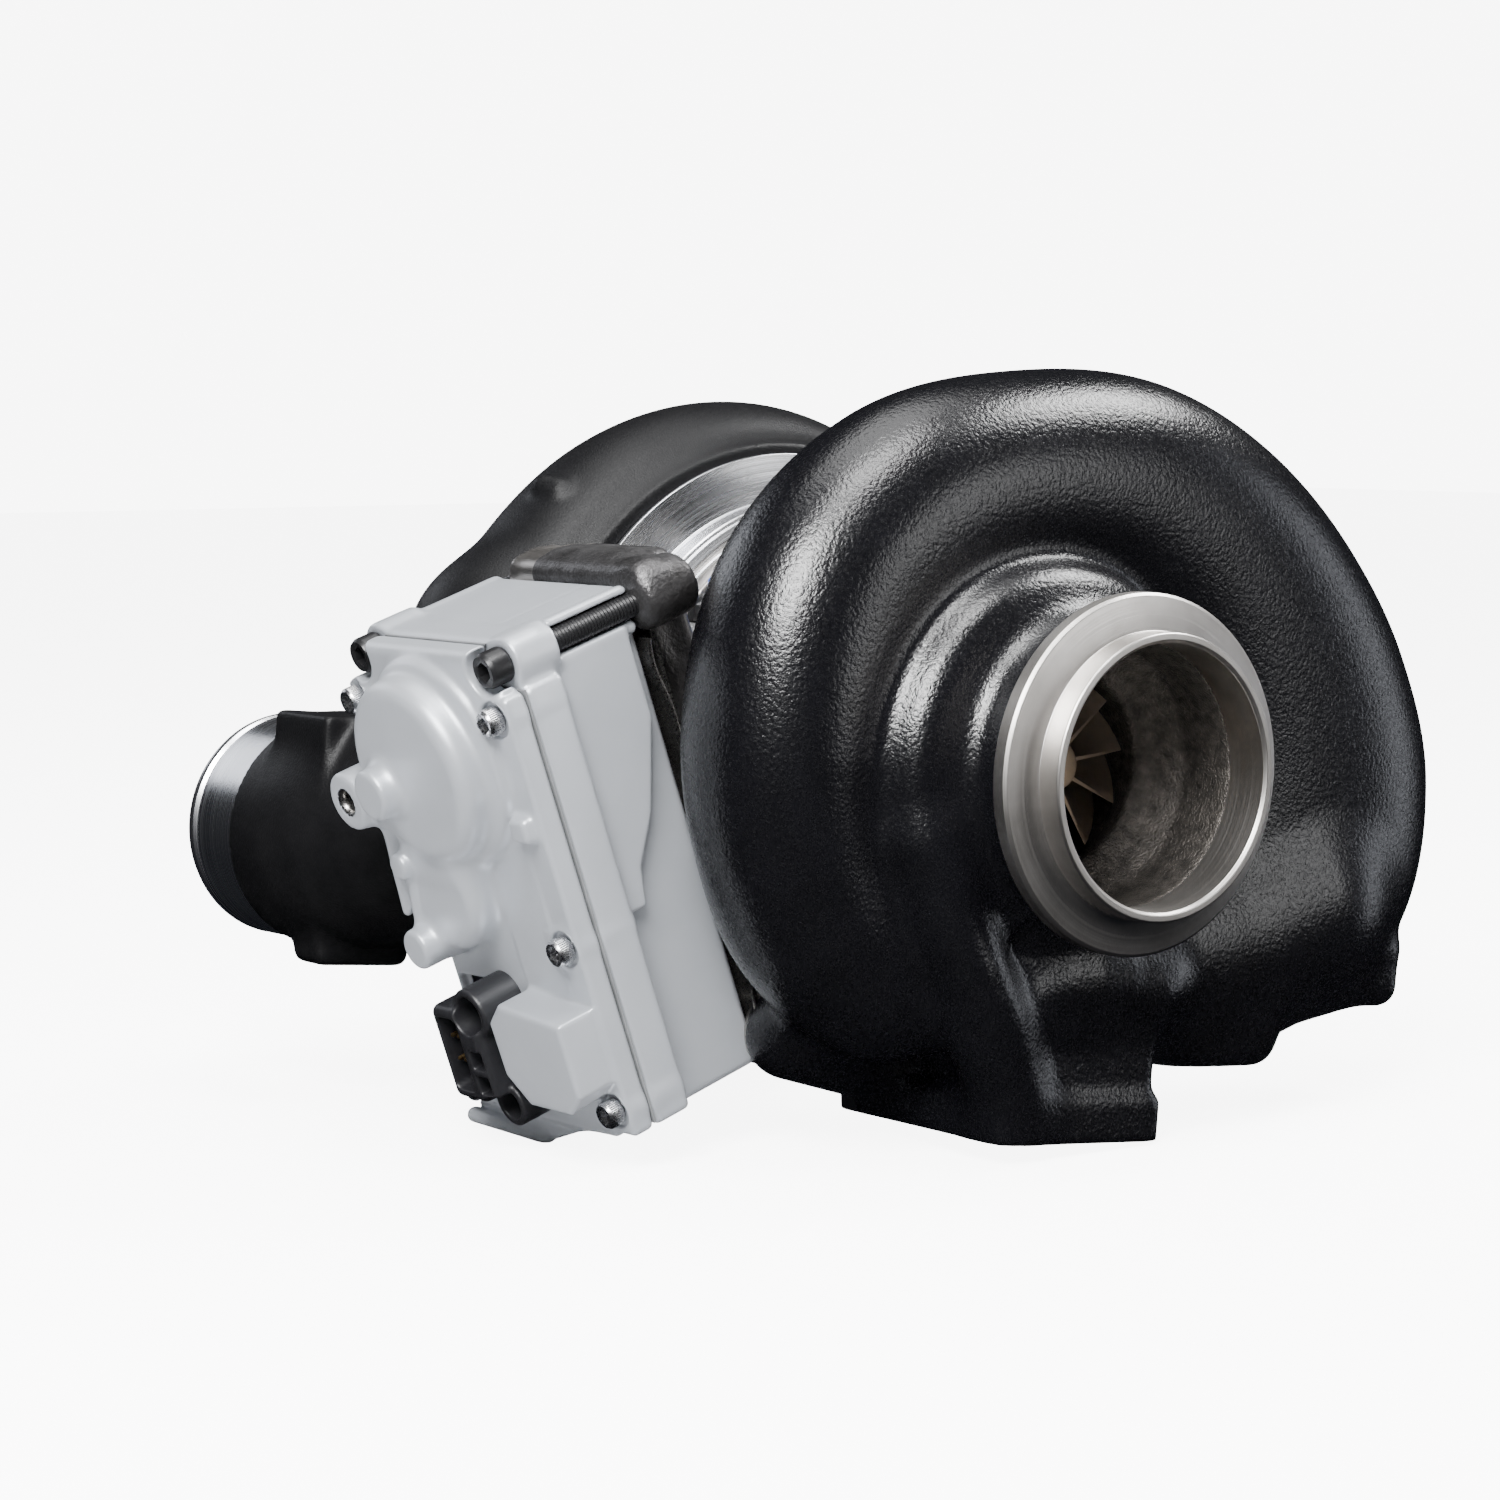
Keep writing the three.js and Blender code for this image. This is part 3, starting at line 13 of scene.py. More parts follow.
import bmesh
import bpy
import numpy as np
import openvdb
from mathutils import Matrix, Vector


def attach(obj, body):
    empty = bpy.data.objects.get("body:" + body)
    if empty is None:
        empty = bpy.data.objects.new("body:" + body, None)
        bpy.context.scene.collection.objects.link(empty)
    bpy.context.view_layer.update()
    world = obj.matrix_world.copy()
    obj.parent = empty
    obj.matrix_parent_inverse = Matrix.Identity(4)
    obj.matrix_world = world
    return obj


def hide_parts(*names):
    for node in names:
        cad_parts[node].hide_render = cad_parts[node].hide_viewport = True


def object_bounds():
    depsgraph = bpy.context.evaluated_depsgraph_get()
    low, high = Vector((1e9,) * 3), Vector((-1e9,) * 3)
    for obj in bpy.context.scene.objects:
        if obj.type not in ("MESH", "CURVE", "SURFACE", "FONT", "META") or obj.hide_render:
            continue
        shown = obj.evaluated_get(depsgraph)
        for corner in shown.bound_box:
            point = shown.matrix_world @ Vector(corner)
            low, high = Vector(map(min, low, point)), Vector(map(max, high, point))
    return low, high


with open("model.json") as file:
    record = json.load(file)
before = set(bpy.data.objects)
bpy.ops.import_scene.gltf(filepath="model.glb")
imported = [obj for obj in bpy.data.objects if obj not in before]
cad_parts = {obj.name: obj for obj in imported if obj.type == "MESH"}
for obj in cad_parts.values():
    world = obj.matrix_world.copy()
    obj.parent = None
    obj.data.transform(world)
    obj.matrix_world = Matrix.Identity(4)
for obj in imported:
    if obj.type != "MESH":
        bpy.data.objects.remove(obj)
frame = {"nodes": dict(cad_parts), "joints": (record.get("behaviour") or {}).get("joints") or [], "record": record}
cad_bounds = [[float(value) for value in corner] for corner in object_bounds()]

# ------------ frames

MM = 0.001
TIP = 0.01  # radius of the ring that ends a turned piece on its axis
SPIGOT_END = -10.6  # station of the outlet's end, the CAD model's lowest y
DRIVE_STATION = 139  # the plane across the shaft that holds every axis of the gear train

joints = {joint["name"]: joint for joint in frame["joints"]}
shaft_height = joints["rotor_spin"]["pos_m"][2]
station_zero = cad_bounds[0][1] - SPIGOT_END * MM
origin = Matrix.Translation((0, station_zero, shaft_height))
CORE = origin @ Matrix.Scale(MM, 4)

out_axis = Vector(joints["yoke_turn"]["axis"])
along_axis = Vector((0, 1, 0))
down_axis = out_axis.cross(along_axis)
ACTUATOR = origin @ Matrix((out_axis, along_axis, down_axis)).transposed().to_4x4() @ Matrix.Scale(MM, 4)
SINE, COSINE = -out_axis.z, -out_axis.x


def down_of(joint_name):
    """How far down the actuator a joint's axis lies, in millimetres."""
    away = Vector(joints[joint_name]["pos_m"]) - origin.translation
    return away.dot(down_axis) / MM


OUTPUT_DOWN = down_of("output_turn")
IDLER_DOWN = down_of("idler_turn")

FINE = 0.62  # grid step of the small castings
COARSE = 1.2  # grid step of the large castings

# ------------ distance fields


class Grid:
    """A box of evenly spaced points."""

    def __init__(self, low, high, step):
        self.low = np.array(low, np.float32)
        self.step = step
        axes = [np.arange(a, b + step, step, dtype=np.float32) for a, b in zip(low, high)]
        self.points = np.meshgrid(*axes, indexing="ij", sparse=True)


def eased(table, t):
    """Smooth values at t from a list of (t, value) pairs."""
    knots, values = np.array(table, np.float32).T
    slopes = np.gradient(values, knots)
    i = np.clip(np.searchsorted(knots, t) - 1, 0, len(knots) - 2)
    width = knots[i + 1] - knots[i]
    s = np.clip((t - knots[i]) / width, 0, 1)
    leaving = values[i] * (1 + 2 * s) * (1 - s) ** 2 + slopes[i] * width * s * (1 - s) ** 2
    arriving = values[i + 1] * s * s * (3 - 2 * s) + slopes[i + 1] * width * s * s * (s - 1)
    return (leaving + arriving).astype(np.float32)


def blend(one, two, fillet):
    """Joins two fields with a fillet."""
    share = np.clip(0.5 + 0.5 * (two - one) / fillet, 0, 1)
    return two + (one - two) * share - fillet * share * (1 - share)


def carve(body, tool, fillet):
    """Cuts a tool from a body, with a rounded lip."""
    return -blend(-body, tool, fillet)


def common(one, two, fillet):
    """What two fields share, with a rounded edge."""
    return -blend(-one, -two, fillet)


def blend_all(fields, fillet):
    """Joins fields in turn with one fillet."""
    whole = fields[0]
    for field in fields[1:]:
        whole = blend(whole, field, fillet)
    return whole


def box(points, u, v, w, edge):
    """A box between the limits u, v and w, with rounded edges."""
    reach = []
    for place, (low, high) in zip(points, (u, v, w)):
        reach.append(np.abs(place - (low + high) / 2) - ((high - low) / 2 - edge))
    outside = np.sqrt(sum(np.maximum(one, 0) ** 2 for one in reach))
    inside = np.minimum(np.maximum(np.maximum(reach[0], reach[1]), reach[2]), 0)
    return outside + inside - edge


def _along(points, start, end):
    """Share of the way from start to end, the reach from start, and the line with its length."""
    step = [b - a for a, b in zip(start, end)]
    length = sqrt(sum(one * one for one in step))
    away = [place - a for place, a in zip(points, start)]
    share = sum(one * two for one, two in zip(away, step)) / length**2
    return share, away, step, length


def capsule(points, start, end, radius, end_radius=None):
    """A round-ended bar."""
    end_radius = radius if end_radius is None else end_radius
    share, away, step, _ = _along(points, start, end)
    share = np.clip(share, 0, 1)
    distance = np.sqrt(sum((one - two * share) ** 2 for one, two in zip(away, step)))
    return distance - (radius + (end_radius - radius) * share)


def bar(points, start, end, radius, edge, end_radius=None):
    """A flat-ended bar with rounded edges."""
    end_radius = radius if end_radius is None else end_radius
    share, away, step, length = _along(points, start, end)
    across = np.sqrt(sum((one - two * share) ** 2 for one, two in zip(away, step)))
    side = across - (radius + (end_radius - radius) * np.clip(share, 0, 1)) + edge
    face = np.abs(share - 0.5) * length - length / 2 + edge
    outside = np.sqrt(np.maximum(side, 0) ** 2 + np.maximum(face, 0) ** 2)
    return outside + np.minimum(np.maximum(side, face), 0) - edge


def post(points, station, down, low, high, radius, edge, end_radius=None):
    """A flat-ended bar along the actuator's out axis."""
    return bar(points, (low, station, down), (high, station, down), radius, edge, end_radius)


def blend_each(body, pairs):
    """Joins (field, fillet) pairs to a body in turn."""
    for field, fillet in pairs:
        body = blend(body, field, fillet)
    return body


def carve_each(body, pairs):
    """Cuts (tool, lip) pairs from a body in turn."""
    for tool, lip in pairs:
        body = carve(body, tool, lip)
    return body


def outline(u, v, corners):
    """Distance to a closed outline of straight sides in the plane."""
    nearest = np.float32(1e9)
    inside = np.zeros(np.broadcast(u, v).shape, bool)
    for (u0, v0), (u1, v1) in zip(corners, corners[1:] + corners[:1]):
        side_u, side_v = u1 - u0, v1 - v0
        share = np.clip(((u - u0) * side_u + (v - v0) * side_v) / (side_u**2 + side_v**2), 0, 1)
        nearest = np.minimum(nearest, (u - u0 - side_u * share) ** 2 + (v - v0 - side_v * share) ** 2)
        if v0 != v1:
            inside ^= ((v0 > v) != (v1 > v)) & (u < u0 + (v - v0) * side_u / side_v)
    return np.where(inside, -1, 1).astype(np.float32) * np.sqrt(nearest)


def turned(points, profile, edge=0.0):
    """A solid of revolution about the shaft, from (radius, station) corners."""
    x, y, z = points
    radius = np.hypot(x, z)[:, 0, :]
    step = 0.25
    rows = np.arange(0, radius.max() + 2 * step, step, dtype=np.float32)[:, None]
    table = outline(rows, y[0, :, 0][None, :], profile) - edge
    place = radius / step
    row = place.astype(np.int32)
    share = (place - row)[:, :, None]
    field = table[row] * (1 - share) + table[row + 1] * share
    return np.ascontiguousarray(field.transpose(0, 2, 1))


def plate(points, corners, low, high, edge, axis=0):
    """A plate between two heights along an axis, cut to an outline in the other two coordinates."""
    height = points[axis]
    u, v = [place for i, place in enumerate(points) if i != axis]
    side = outline(u, v, corners) + edge
    face = np.abs(height - (low + high) / 2) - (high - low) / 2 + edge
    outside = np.sqrt(np.maximum(side, 0) ** 2 + np.maximum(face, 0) ** 2)
    return outside + np.minimum(np.maximum(side, face), 0) - edge


def snail(points, start, end, rim, heel, station, depth, power=2.15):
    """A spiral tube round the shaft, between the angles start and end, with rim(angle) outside."""
    x, y, z = points
    middle = (start + end) / 2
    radius = np.hypot(x, z)
    angle = (np.degrees(np.arctan2(z, x)) - middle + 180) % 360 - 180 + middle
    outer = rim(np.clip(angle, start, end))
    half = (outer - heel) / 2
    deep = np.minimum(depth, half) if depth > 0 else half
    u = np.abs(radius - (outer + heel) / 2) / half + 1e-4
    v = np.abs(y - station) / deep + 1e-4
    size = (u**power + v**power) ** (1 / power)
    slope = size ** (1 - power) * np.hypot(u ** (power - 1) / half, v ** (power - 1) / deep)
    tube = (size - 1) / slope
    ends = np.maximum(start - angle, angle - end) * radians(1) * radius
    return common(tube, ends, 8.0)


def tube(points, stops):
    """A tube through (x, y, z, radius) stops, smoothed between them."""
    detail = 3  # pieces between two stops
    table = np.array(stops, np.float32)
    knots = np.arange(len(stops), dtype=np.float32)
    t = np.linspace(0, len(stops) - 1, (len(stops) - 1) * detail + 1, dtype=np.float32)
    fine = np.stack([eased(list(zip(knots, column)), t) for column in table.T], axis=1)
    field = None
    for (*start, radius), (*end, end_radius) in zip(fine[:-1].tolist(), fine[1:].tolist()):
        piece = capsule(points, start, end, radius, end_radius)
        field = piece if field is None else np.minimum(field, piece)
    return field


# ------------ meshes


def link_object(name, data):
    made = bpy.data.objects.new(name, data)
    bpy.context.scene.collection.objects.link(made)
    return made


def finish_mesh(mesh, name, nodes, body="housing", sharp=None):
    """Makes the piece that shows a mesh, on its body, in place of the CAD nodes it stands for."""
    piece = link_object(name, mesh)
    mesh.shade_smooth()
    if sharp is not None:
        mesh.set_sharp_from_angle(angle=radians(sharp))
    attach(piece, body)
    if nodes:
        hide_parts(*nodes)
    return piece


def cast(name, grid, field, to_frame, materials, nodes):
    """Meshes a field. materials lists (material, test) pairs: the last test that holds wins."""
    reach = 3 * grid.step
    volume = openvdb.FloatGrid(reach)
    volume.copyFromArray(np.clip(field, -reach, reach).astype(np.float32))
    points, quads = volume.convertToQuads(isovalue=0.0)
    points = grid.low + points * grid.step
    one, two, three = (points[quads[:, i]].astype(np.float64) for i in range(3))
    if np.einsum("ij,ij->i", one, np.cross(two, three)).sum() < 0:
        quads = quads[:, ::-1]
    mesh = bpy.data.meshes.new(name)
    mesh.from_pydata(points.tolist(), [], quads.tolist())
    middles = points[quads].mean(axis=1)
    index = np.zeros(len(quads), np.int32)
    for i, (material, test) in enumerate(materials):
        mesh.materials.append(material)
        if test is not None:
            index[test(*middles.T)] = i
    mesh.polygons.foreach_set("material_index", index)
    mesh.transform(to_frame)
    mesh.update()
    piece = finish_mesh(mesh, name, nodes)
    smooth = piece.modifiers.new("smooth", "SMOOTH")
    smooth.factor = 0.5
    smooth.iterations = 2


def skin(work, rows):
    """Quads between neighbouring closed rows of vertices."""
    for lower, upper in rows:
        for i in range(len(lower)):
            j = (i + 1) % len(lower)
            work.faces.new((lower[i], lower[j], upper[j], upper[i]))


def to_mesh(work, name, material):
    """Turns a bmesh into a mesh whose faces look outwards."""
    bmesh.ops.recalc_face_normals(work, faces=work.faces)
    mesh = bpy.data.meshes.new(name)
    work.to_mesh(mesh)
    work.free()
    mesh.materials.append(material)
    return mesh


def loft(name, rings, to_frame, material, nodes=(), body="housing", closed=False, caps=False, bevel=0.0,
         sharp=35):
    """A skin through rings of points. A closed loft joins its last ring to its first."""
    work = bmesh.new()
    rows = [[work.verts.new(to_frame @ Vector(point)) for point in ring] for ring in rings]
    skin(work, zip(rows, rows[1:] + rows[:1] if closed else rows[1:]))
    if caps:
        work.faces.new(rows[0][::-1])
        work.faces.new(rows[-1])
    piece = finish_mesh(to_mesh(work, name, material), name, nodes, body, sharp)
    if bevel:
        cut = piece.modifiers.new("bevel", "BEVEL")
        cut.width = bevel * MM
        cut.segments = 2
        cut.limit_method = "ANGLE"
        cut.angle_limit = radians(25)
        cut.harden_normals = True


def ring(reach, station, count, centre=(0, 0)):
    """Points round an axis along y, at the radius reach(i, angle)."""
    points = []
    for i in range(count):
        angle = 2 * pi * i / count
        radius = reach(i, angle)
        points.append((centre[0] + radius * cos(angle), station, centre[1] + radius * sin(angle)))
    return points


def ring_of(radius, station, count, centre=(0, 0)):
    return ring(lambda i, angle: radius, station, count, centre)


def lathe(name, profile, material, nodes=(), centre=(0, 0), count=160, bevel=0.2):
    """A turned piece from a closed outline of (radius, station) corners."""
    rings = [ring_of(radius, station, count, centre) for radius, station in profile]
    loft(name, rings, CORE, material, nodes, closed=True, bevel=bevel)


def spin(origin_point, axis):
    """A frame whose y runs along an axis from a point, for turned pieces, in millimetres."""
    y = Vector(axis).normalized()
    side = Vector((0, 0, 1)) if abs(y.z) < 0.9 else Vector((1, 0, 0))
    x = y.cross(side).normalized()
    z = x.cross(y)
    turn = Matrix((x, y, z)).transposed().to_4x4()
    return Matrix.Translation(origin_point) @ turn


def post_frame(station, down, out):
    """A frame whose y runs along `out` in the actuator's frame."""
    return ACTUATOR @ spin((out, station, down), (1, 0, 0))


def hexagon(radius, height, count):
    """A ring on a hexagon, radius to its corners."""
    flat = radius * cos(pi / 6)
    sixth = pi / 3
    return ring(lambda i, angle: flat / cos((angle + sixth / 2) % sixth - sixth / 2), height, count)


def knurled(radius, height, count, depth=0.16):
    """A ring with fine ridges."""
    return ring(lambda i, angle: radius - (depth if i % 2 else 0), height, count)


def coarse_knurl(radius, height, count):
    return knurled(radius, height, count, 0.3)


def stack(count, *runs):
    """Rings from runs of a shape and the (radius, height) corners that it goes through."""
    return [shape(radius, height, count) for shape, corners in runs for radius, height in corners]


def threaded(radius, start, end, pitch, count):
    """Rings of a thread's crests and roots, stacked without their lead."""
    depth = 0.45
    rings = []
    height = start
    while height < end:
        rings.append(ring_of(radius - depth, height, count))
        rings.append(ring_of(radius, height + pitch / 2, count))
        height += pitch
    return rings


def socket_screw(name, to_frame, radius, head_radius, head_height, shank, material, nodes):
    """A socket head screw: its head's seat is at height 0 and its shank goes down."""
    key = head_radius * 0.56
    rings = stack(
        96,
        (ring_of, [(TIP, -shank), (radius * 0.8, -shank), (radius, -shank + 0.8), (radius, -0.4), (radius, 0),
                   (head_radius - 0.3, 0), (head_radius - 0.1, 0.4)]),
        (knurled, [(head_radius, 0.7), (head_radius, head_height * 0.8)]),
        (ring_of, [(head_radius - 0.15, head_height * 0.85), (head_radius - 0.7, head_height),
                   (key * 1.14, head_height)]),
        (hexagon, [(key, head_height - 0.35), (key, head_height * 0.42)]),
        (ring_of, [(TIP, head_height * 0.34)]),
    )
    loft(name, rings, to_frame, material, nodes, sharp=30)


# ------------ materials


def fill(node, inputs):
    """Sets a node's inputs from (input, value) pairs."""
    for key, value in inputs:
        node.inputs[key].default_value = value


def add_node(tree, kind, inputs=(), **settings):
    """A shader node with its settings, then its inputs' own values."""
    made = tree.nodes.new(kind)
    for key, value in settings.items():
        setattr(made, key, value)
    fill(made, inputs)
    return made


def marks_round(tree, place, centre):
    """Coordinates of radius and station round an axis, which stretch a texture into turning marks."""
    link = tree.links.new
    shift = add_node(tree, "ShaderNodeVectorMath", [(1, (centre[0], 0, centre[1]))], operation="SUBTRACT")
    parts = add_node(tree, "ShaderNodeSeparateXYZ")
    flat = add_node(tree, "ShaderNodeCombineXYZ")
    radius = add_node(tree, "ShaderNodeVectorMath", operation="LENGTH")
    marks = add_node(tree, "ShaderNodeCombineXYZ")
    link(place, shift.inputs[0])
    link(shift.outputs[0], parts.inputs[0])
    link(parts.outputs["X"], flat.inputs["X"])
    link(parts.outputs["Z"], flat.inputs["Y"])
    link(flat.outputs[0], radius.inputs[0])
    link(radius.outputs["Value"], marks.inputs["X"])
    link(parts.outputs["Y"], marks.inputs["Y"])
    return marks.outputs[0]


def surface(name, color, roughness, metallic=0.0, grain=900.0, depth=0.0001, spread=0.08, tint=None,
            tint_scale=60.0, turned_about=None, coat=0.0, coat_roughness=0.1, detail=3.0, specular=0.5):
    """A material whose grain, colour and roughness vary. Turning marks follow circles about an axis."""
    material = bpy.data.materials.new(name)
    material.use_nodes = True
    tree = material.node_tree
    link = tree.links.new
    shader = tree.nodes["Principled BSDF"]
    fill(shader, [("Metallic", metallic), ("Specular IOR Level", specular), ("Coat Weight", coat),
                  ("Coat Roughness", coat_roughness)])
    place = add_node(tree, "ShaderNodeTexCoord").outputs["Object"]
    fine_place = marks_round(tree, place, turned_about) if turned_about else place

    fine = add_node(tree, "ShaderNodeTexNoise", [("Scale", grain), ("Detail", detail), ("Roughness", 0.55)])
    link(fine_place, fine.inputs["Vector"])
    bump = add_node(tree, "ShaderNodeBump", [("Strength", 1.0), ("Distance", depth)])
    link(fine.outputs["Fac"], bump.inputs["Height"])
    link(bump.outputs["Normal"], shader.inputs["Normal"])

    second = tint or [value * 0.72 for value in color]
    broad = add_node(tree, "ShaderNodeTexNoise", [("Scale", tint_scale), ("Detail", 4.0)])
    ramp = add_node(tree, "ShaderNodeMapRange", [("From Min", 0.35), ("From Max", 0.7)])
    mix = add_node(tree, "ShaderNodeMix", [("A", (*color, 1)), ("B", (*second, 1))], data_type="RGBA")
    link(place, broad.inputs["Vector"])
    link(broad.outputs["Fac"], ramp.inputs["Value"])
    link(ramp.outputs["Result"], mix.inputs["Factor"])
    link(mix.outputs["Result"], shader.inputs["Base Color"])

    gloss = add_node(tree, "ShaderNodeMapRange", [
        ("From Min", 0.3), ("From Max", 0.7), ("To Min", roughness - spread), ("To Max", roughness + spread),
    ])
    link(fine.outputs["Fac"], gloss.inputs["Value"])
    link(gloss.outputs["Result"], shader.inputs["Roughness"])
    return material


SHAFT = (0, shaft_height)
DISCHARGE = (-118.9, -43.8)  # x and z of the discharge pipe's axis
DISCHARGE_AXIS = (DISCHARGE[0] * MM, shaft_height + DISCHARGE[1] * MM)

GLOSS_BLACK = surface("gloss_black_casting", (0.003, 0.003, 0.004), 0.25, grain=820, depth=0.00024,
                      spread=0.05, detail=2.0, specular=0.6)
SATIN_BLACK = surface("satin_black_casting", (0.003, 0.003, 0.0035), 0.45, grain=1500, depth=0.00016,
                      tint=(0.005, 0.005, 0.0055), specular=0.2)
MACHINED_ALUMINIUM = surface("machined_aluminium", (0.83, 0.84, 0.86), 0.24, 1.0, grain=2200,
                             depth=0.000005, tint=(0.74, 0.75, 0.79), turned_about=SHAFT)
DISCHARGE_ALUMINIUM = surface("machined_discharge", (0.8, 0.81, 0.83), 0.26, 1.0, grain=2200,
                              depth=0.00002, tint=(0.7, 0.71, 0.74), turned_about=DISCHARGE_AXIS)
MACHINED_IRON = surface("machined_iron", (0.66, 0.635, 0.61), 0.36, 1.0, grain=2600, depth=0.000025,
                        tint=(0.52, 0.5, 0.475), turned_about=SHAFT)
FACED_IRON = surface("faced_iron", (0.42, 0.4, 0.38), 0.36, 1.0, grain=2000, depth=0.00002)
ROUGH_BORE = surface("rough_bore", (0.11, 0.1, 0.09), 0.42, 0.8, grain=1100, depth=0.0007,
                     tint=(0.05, 0.046, 0.042), tint_scale=260)
DARK_IRON = surface("bare_casting", (0.12, 0.118, 0.12), 0.4, 0.85, grain=700, depth=0.00035,
                    tint=(0.045, 0.043, 0.043), tint_scale=70)
SILVER_PAINT = surface("silver_paint", (0.44, 0.46, 0.49), 0.4, 0.45, grain=2600, depth=0.00003,
                       spread=0.05, tint=(0.41, 0.43, 0.46), tint_scale=40, coat=0.12, coat_roughness=0.3)
STEEL = surface("steel", (0.55, 0.54, 0.52), 0.3, 1.0, grain=1800, depth=0.00003, tint=(0.42, 0.41, 0.4))
ZINC = surface("zinc_steel", (0.72, 0.72, 0.73), 0.28, 1.0, grain=2400, depth=0.00003,
               tint=(0.55, 0.55, 0.56), tint_scale=300)
BLACK_STEEL = surface("black_oxide", (0.014, 0.014, 0.015), 0.36, 0.3, grain=2000, depth=0.00004)
WHEEL_ALLOY = surface("wheel_alloy", (0.3, 0.23, 0.16), 0.42, 0.85, grain=1500, depth=0.00006,
                      tint=(0.28, 0.22, 0.17), tint_scale=150)
WHEEL_ALUMINIUM = surface("wheel_aluminium", (0.8, 0.81, 0.83), 0.26, 1.0, grain=2600, depth=0.00002)
BRONZE = surface("bronze", (0.6, 0.42, 0.2), 0.32, 1.0, grain=2000, depth=0.00002)
WINDING = surface("winding", (0.45, 0.2, 0.08), 0.4, 0.7, grain=1200, depth=0.0002)
BLACK_PLASTIC = surface("black_plastic", (0.011, 0.011, 0.013), 0.42, grain=2200, depth=0.00005)
BLUE_PLASTIC = surface("blue_plastic", (0.02, 0.1, 0.5), 0.35, grain=2200, depth=0.00003)
RUBBER = surface("gasket_rubber", (0.16, 0.165, 0.17), 0.6, grain=1800, depth=0.00005)
BOARD = surface("board", (0.02, 0.16, 0.06), 0.45, grain=800, depth=0.00005)

SLOT_MATERIALS = {
    "cast_black": GLOSS_BLACK, "cover_black": SATIN_BLACK, "dark_iron": DARK_IRON,
    "machined_aluminium": MACHINED_ALUMINIUM, "wheel_alloy": WHEEL_ALLOY,
    "wheel_aluminium": WHEEL_ALUMINIUM, "silver_paint": SILVER_PAINT, "steel": STEEL, "zinc_steel": ZINC,
    "black_steel": BLACK_STEEL, "bronze": BRONZE, "winding": WINDING, "black_plastic": BLACK_PLASTIC,
    "blue_plastic": BLUE_PLASTIC, "gasket_rubber": RUBBER, "board_green": BOARD,
}
SLOT_OF = {material.name: slot for slot, material in SLOT_MATERIALS.items()}
SLOT_OF[DISCHARGE_ALUMINIUM.name] = "machined_aluminium"
SLOT_OF[MACHINED_IRON.name] = "steel"


def dress_frame():
    """Gives every CAD node the material of its slot."""
    for part in frame["record"]["subparts"]:
        node = frame["nodes"][part["node"]]
        node.data.materials.clear()
        node.data.materials.append(SLOT_MATERIALS[part["material_slot"]])


# ------------ turbine side

VOLUTE_RIM = [
    (-70, 98), (-60, 108), (-51, 121), (-40, 144), (-33, 155), (-26, 172), (-19, 184), (0, 188),
    (14, 176), (28, 162), (45, 148), (65, 135), (90, 122), (121, 120), (150, 119), (175, 114),
    (198, 111), (222, 110), (245, 104), (258, 96),
]
SHOULDER_RIM = [
    (-110, 62), (-40, 61), (0, 61), (60, 62), (100, 63), (140, 66), (180, 69), (215, 68), (250, 63),
]
FOOT_FACE = -117  # z of the face that the exhaust manifold bolts to


def turbine_housing():
    """The scroll, its shoulder and neck, the inlet throat and foot, and the lugs, with all openings cut."""
    grid = Grid((-124, 4, -120), (200, 113, 127), COARSE)
    p = grid.points
    volute = snail(p, -70, 258, lambda angle: eased(VOLUTE_RIM, angle), 50, 70, 31.5)
    shoulder = snail(p, -110, 250, lambda angle: eased(SHOULDER_RIM, angle), 36, 43, 18, 2.4)
    neck = turned(p, [
        (-20, 4), (45.5, 4), (46.5, 20), (50, 34), (58, 48), (66, 60), (66, 100), (-20, 100),
    ])
    flange = turned(p, [(-20, 88), (62, 88), (63.5, 103.6), (70, 103.6), (70, 109), (-20, 109)])
    tower = box(p, (-13.4, 49), (34, 118), (-140, -66), 7)
    throat = tube(p, [(20, 71, -84, 27), (50, 70, -63, 31), (90, 70, -58, 33), (126, 70, -44, 37)])
    brow = tube(p, [(-20, 44, -72, 12), (16, 42, -66, 14), (46, 46, -66, 12)])
    fin = tube(p, [
        (-52, 36, -26, 9), (-43, 33, -48, 10), (-30, 33, -70, 11), (-16, 39, -92, 11), (-6, 44, -108, 11),
    ])
    scroll = blend(blend(neck, shoulder, 10), volute, 9)
    body = blend_each(blend_all([scroll, throat, tower, brow], 12), [
        (fin, 12),
        (capsule(p, (-50, 98, -90), (-22, 99, -96), 15), 12),
        (box(p, (-16.6, 49.3), (33.4, 112.8), (-140, -103), 2.2), 5),
        (box(p, (72, 110), (42, 78), (-95.5, -62), 8), 9),
        (box(p, (128, 172), (49, 70), (-77, -52), 7), 8),
        (flange, 3),
    ])
    body = common(body, FOOT_FACE - p[2], 0.8)
    bore = turned(p, [
        (-20, -20), (40, -20), (40, 25), (36, 34), (31.4, 39), (31.4, 55), (37, 66), (37, 120), (-20, 120),
    ])
    body = carve(body, bore, 1.6)
    for start, end in ((42.5, 73), (79, 110)):
        body = carve(body, box(p, (-5.4, 40.3), (start, end), (-140, -78), 8), 1.5)
    for bolt_x in (-7.4, 42.3):
        for station in (40.4, 112.4):
            body = carve(body, bar(p, (bolt_x, station, -130), (bolt_x, station, -99), 4.2, 0.2), 0.6)

    def in_bore(x, y, z):
        return (np.hypot(x, z) < 42) & (y < 112)

    def in_port(x, y, z):
        across = (x > -5.6) & (x < 40.5) & (y > 42.3) & (y < 110.2)
        return across & (z > FOOT_FACE + 0.6) & (z < -76)

    def on_foot(x, y, z):
        return z < FOOT_FACE + 0.6

    def behind(x, y, z):
        return y > 103

    cast("turbine_casting", grid, body, CORE,
         [(GLOSS_BLACK, None), (ROUGH_BORE, in_bore), (ROUGH_BORE, in_port), (FACED_IRON, on_foot),
          (FACED_IRON, behind)], ["turbine_housing"])


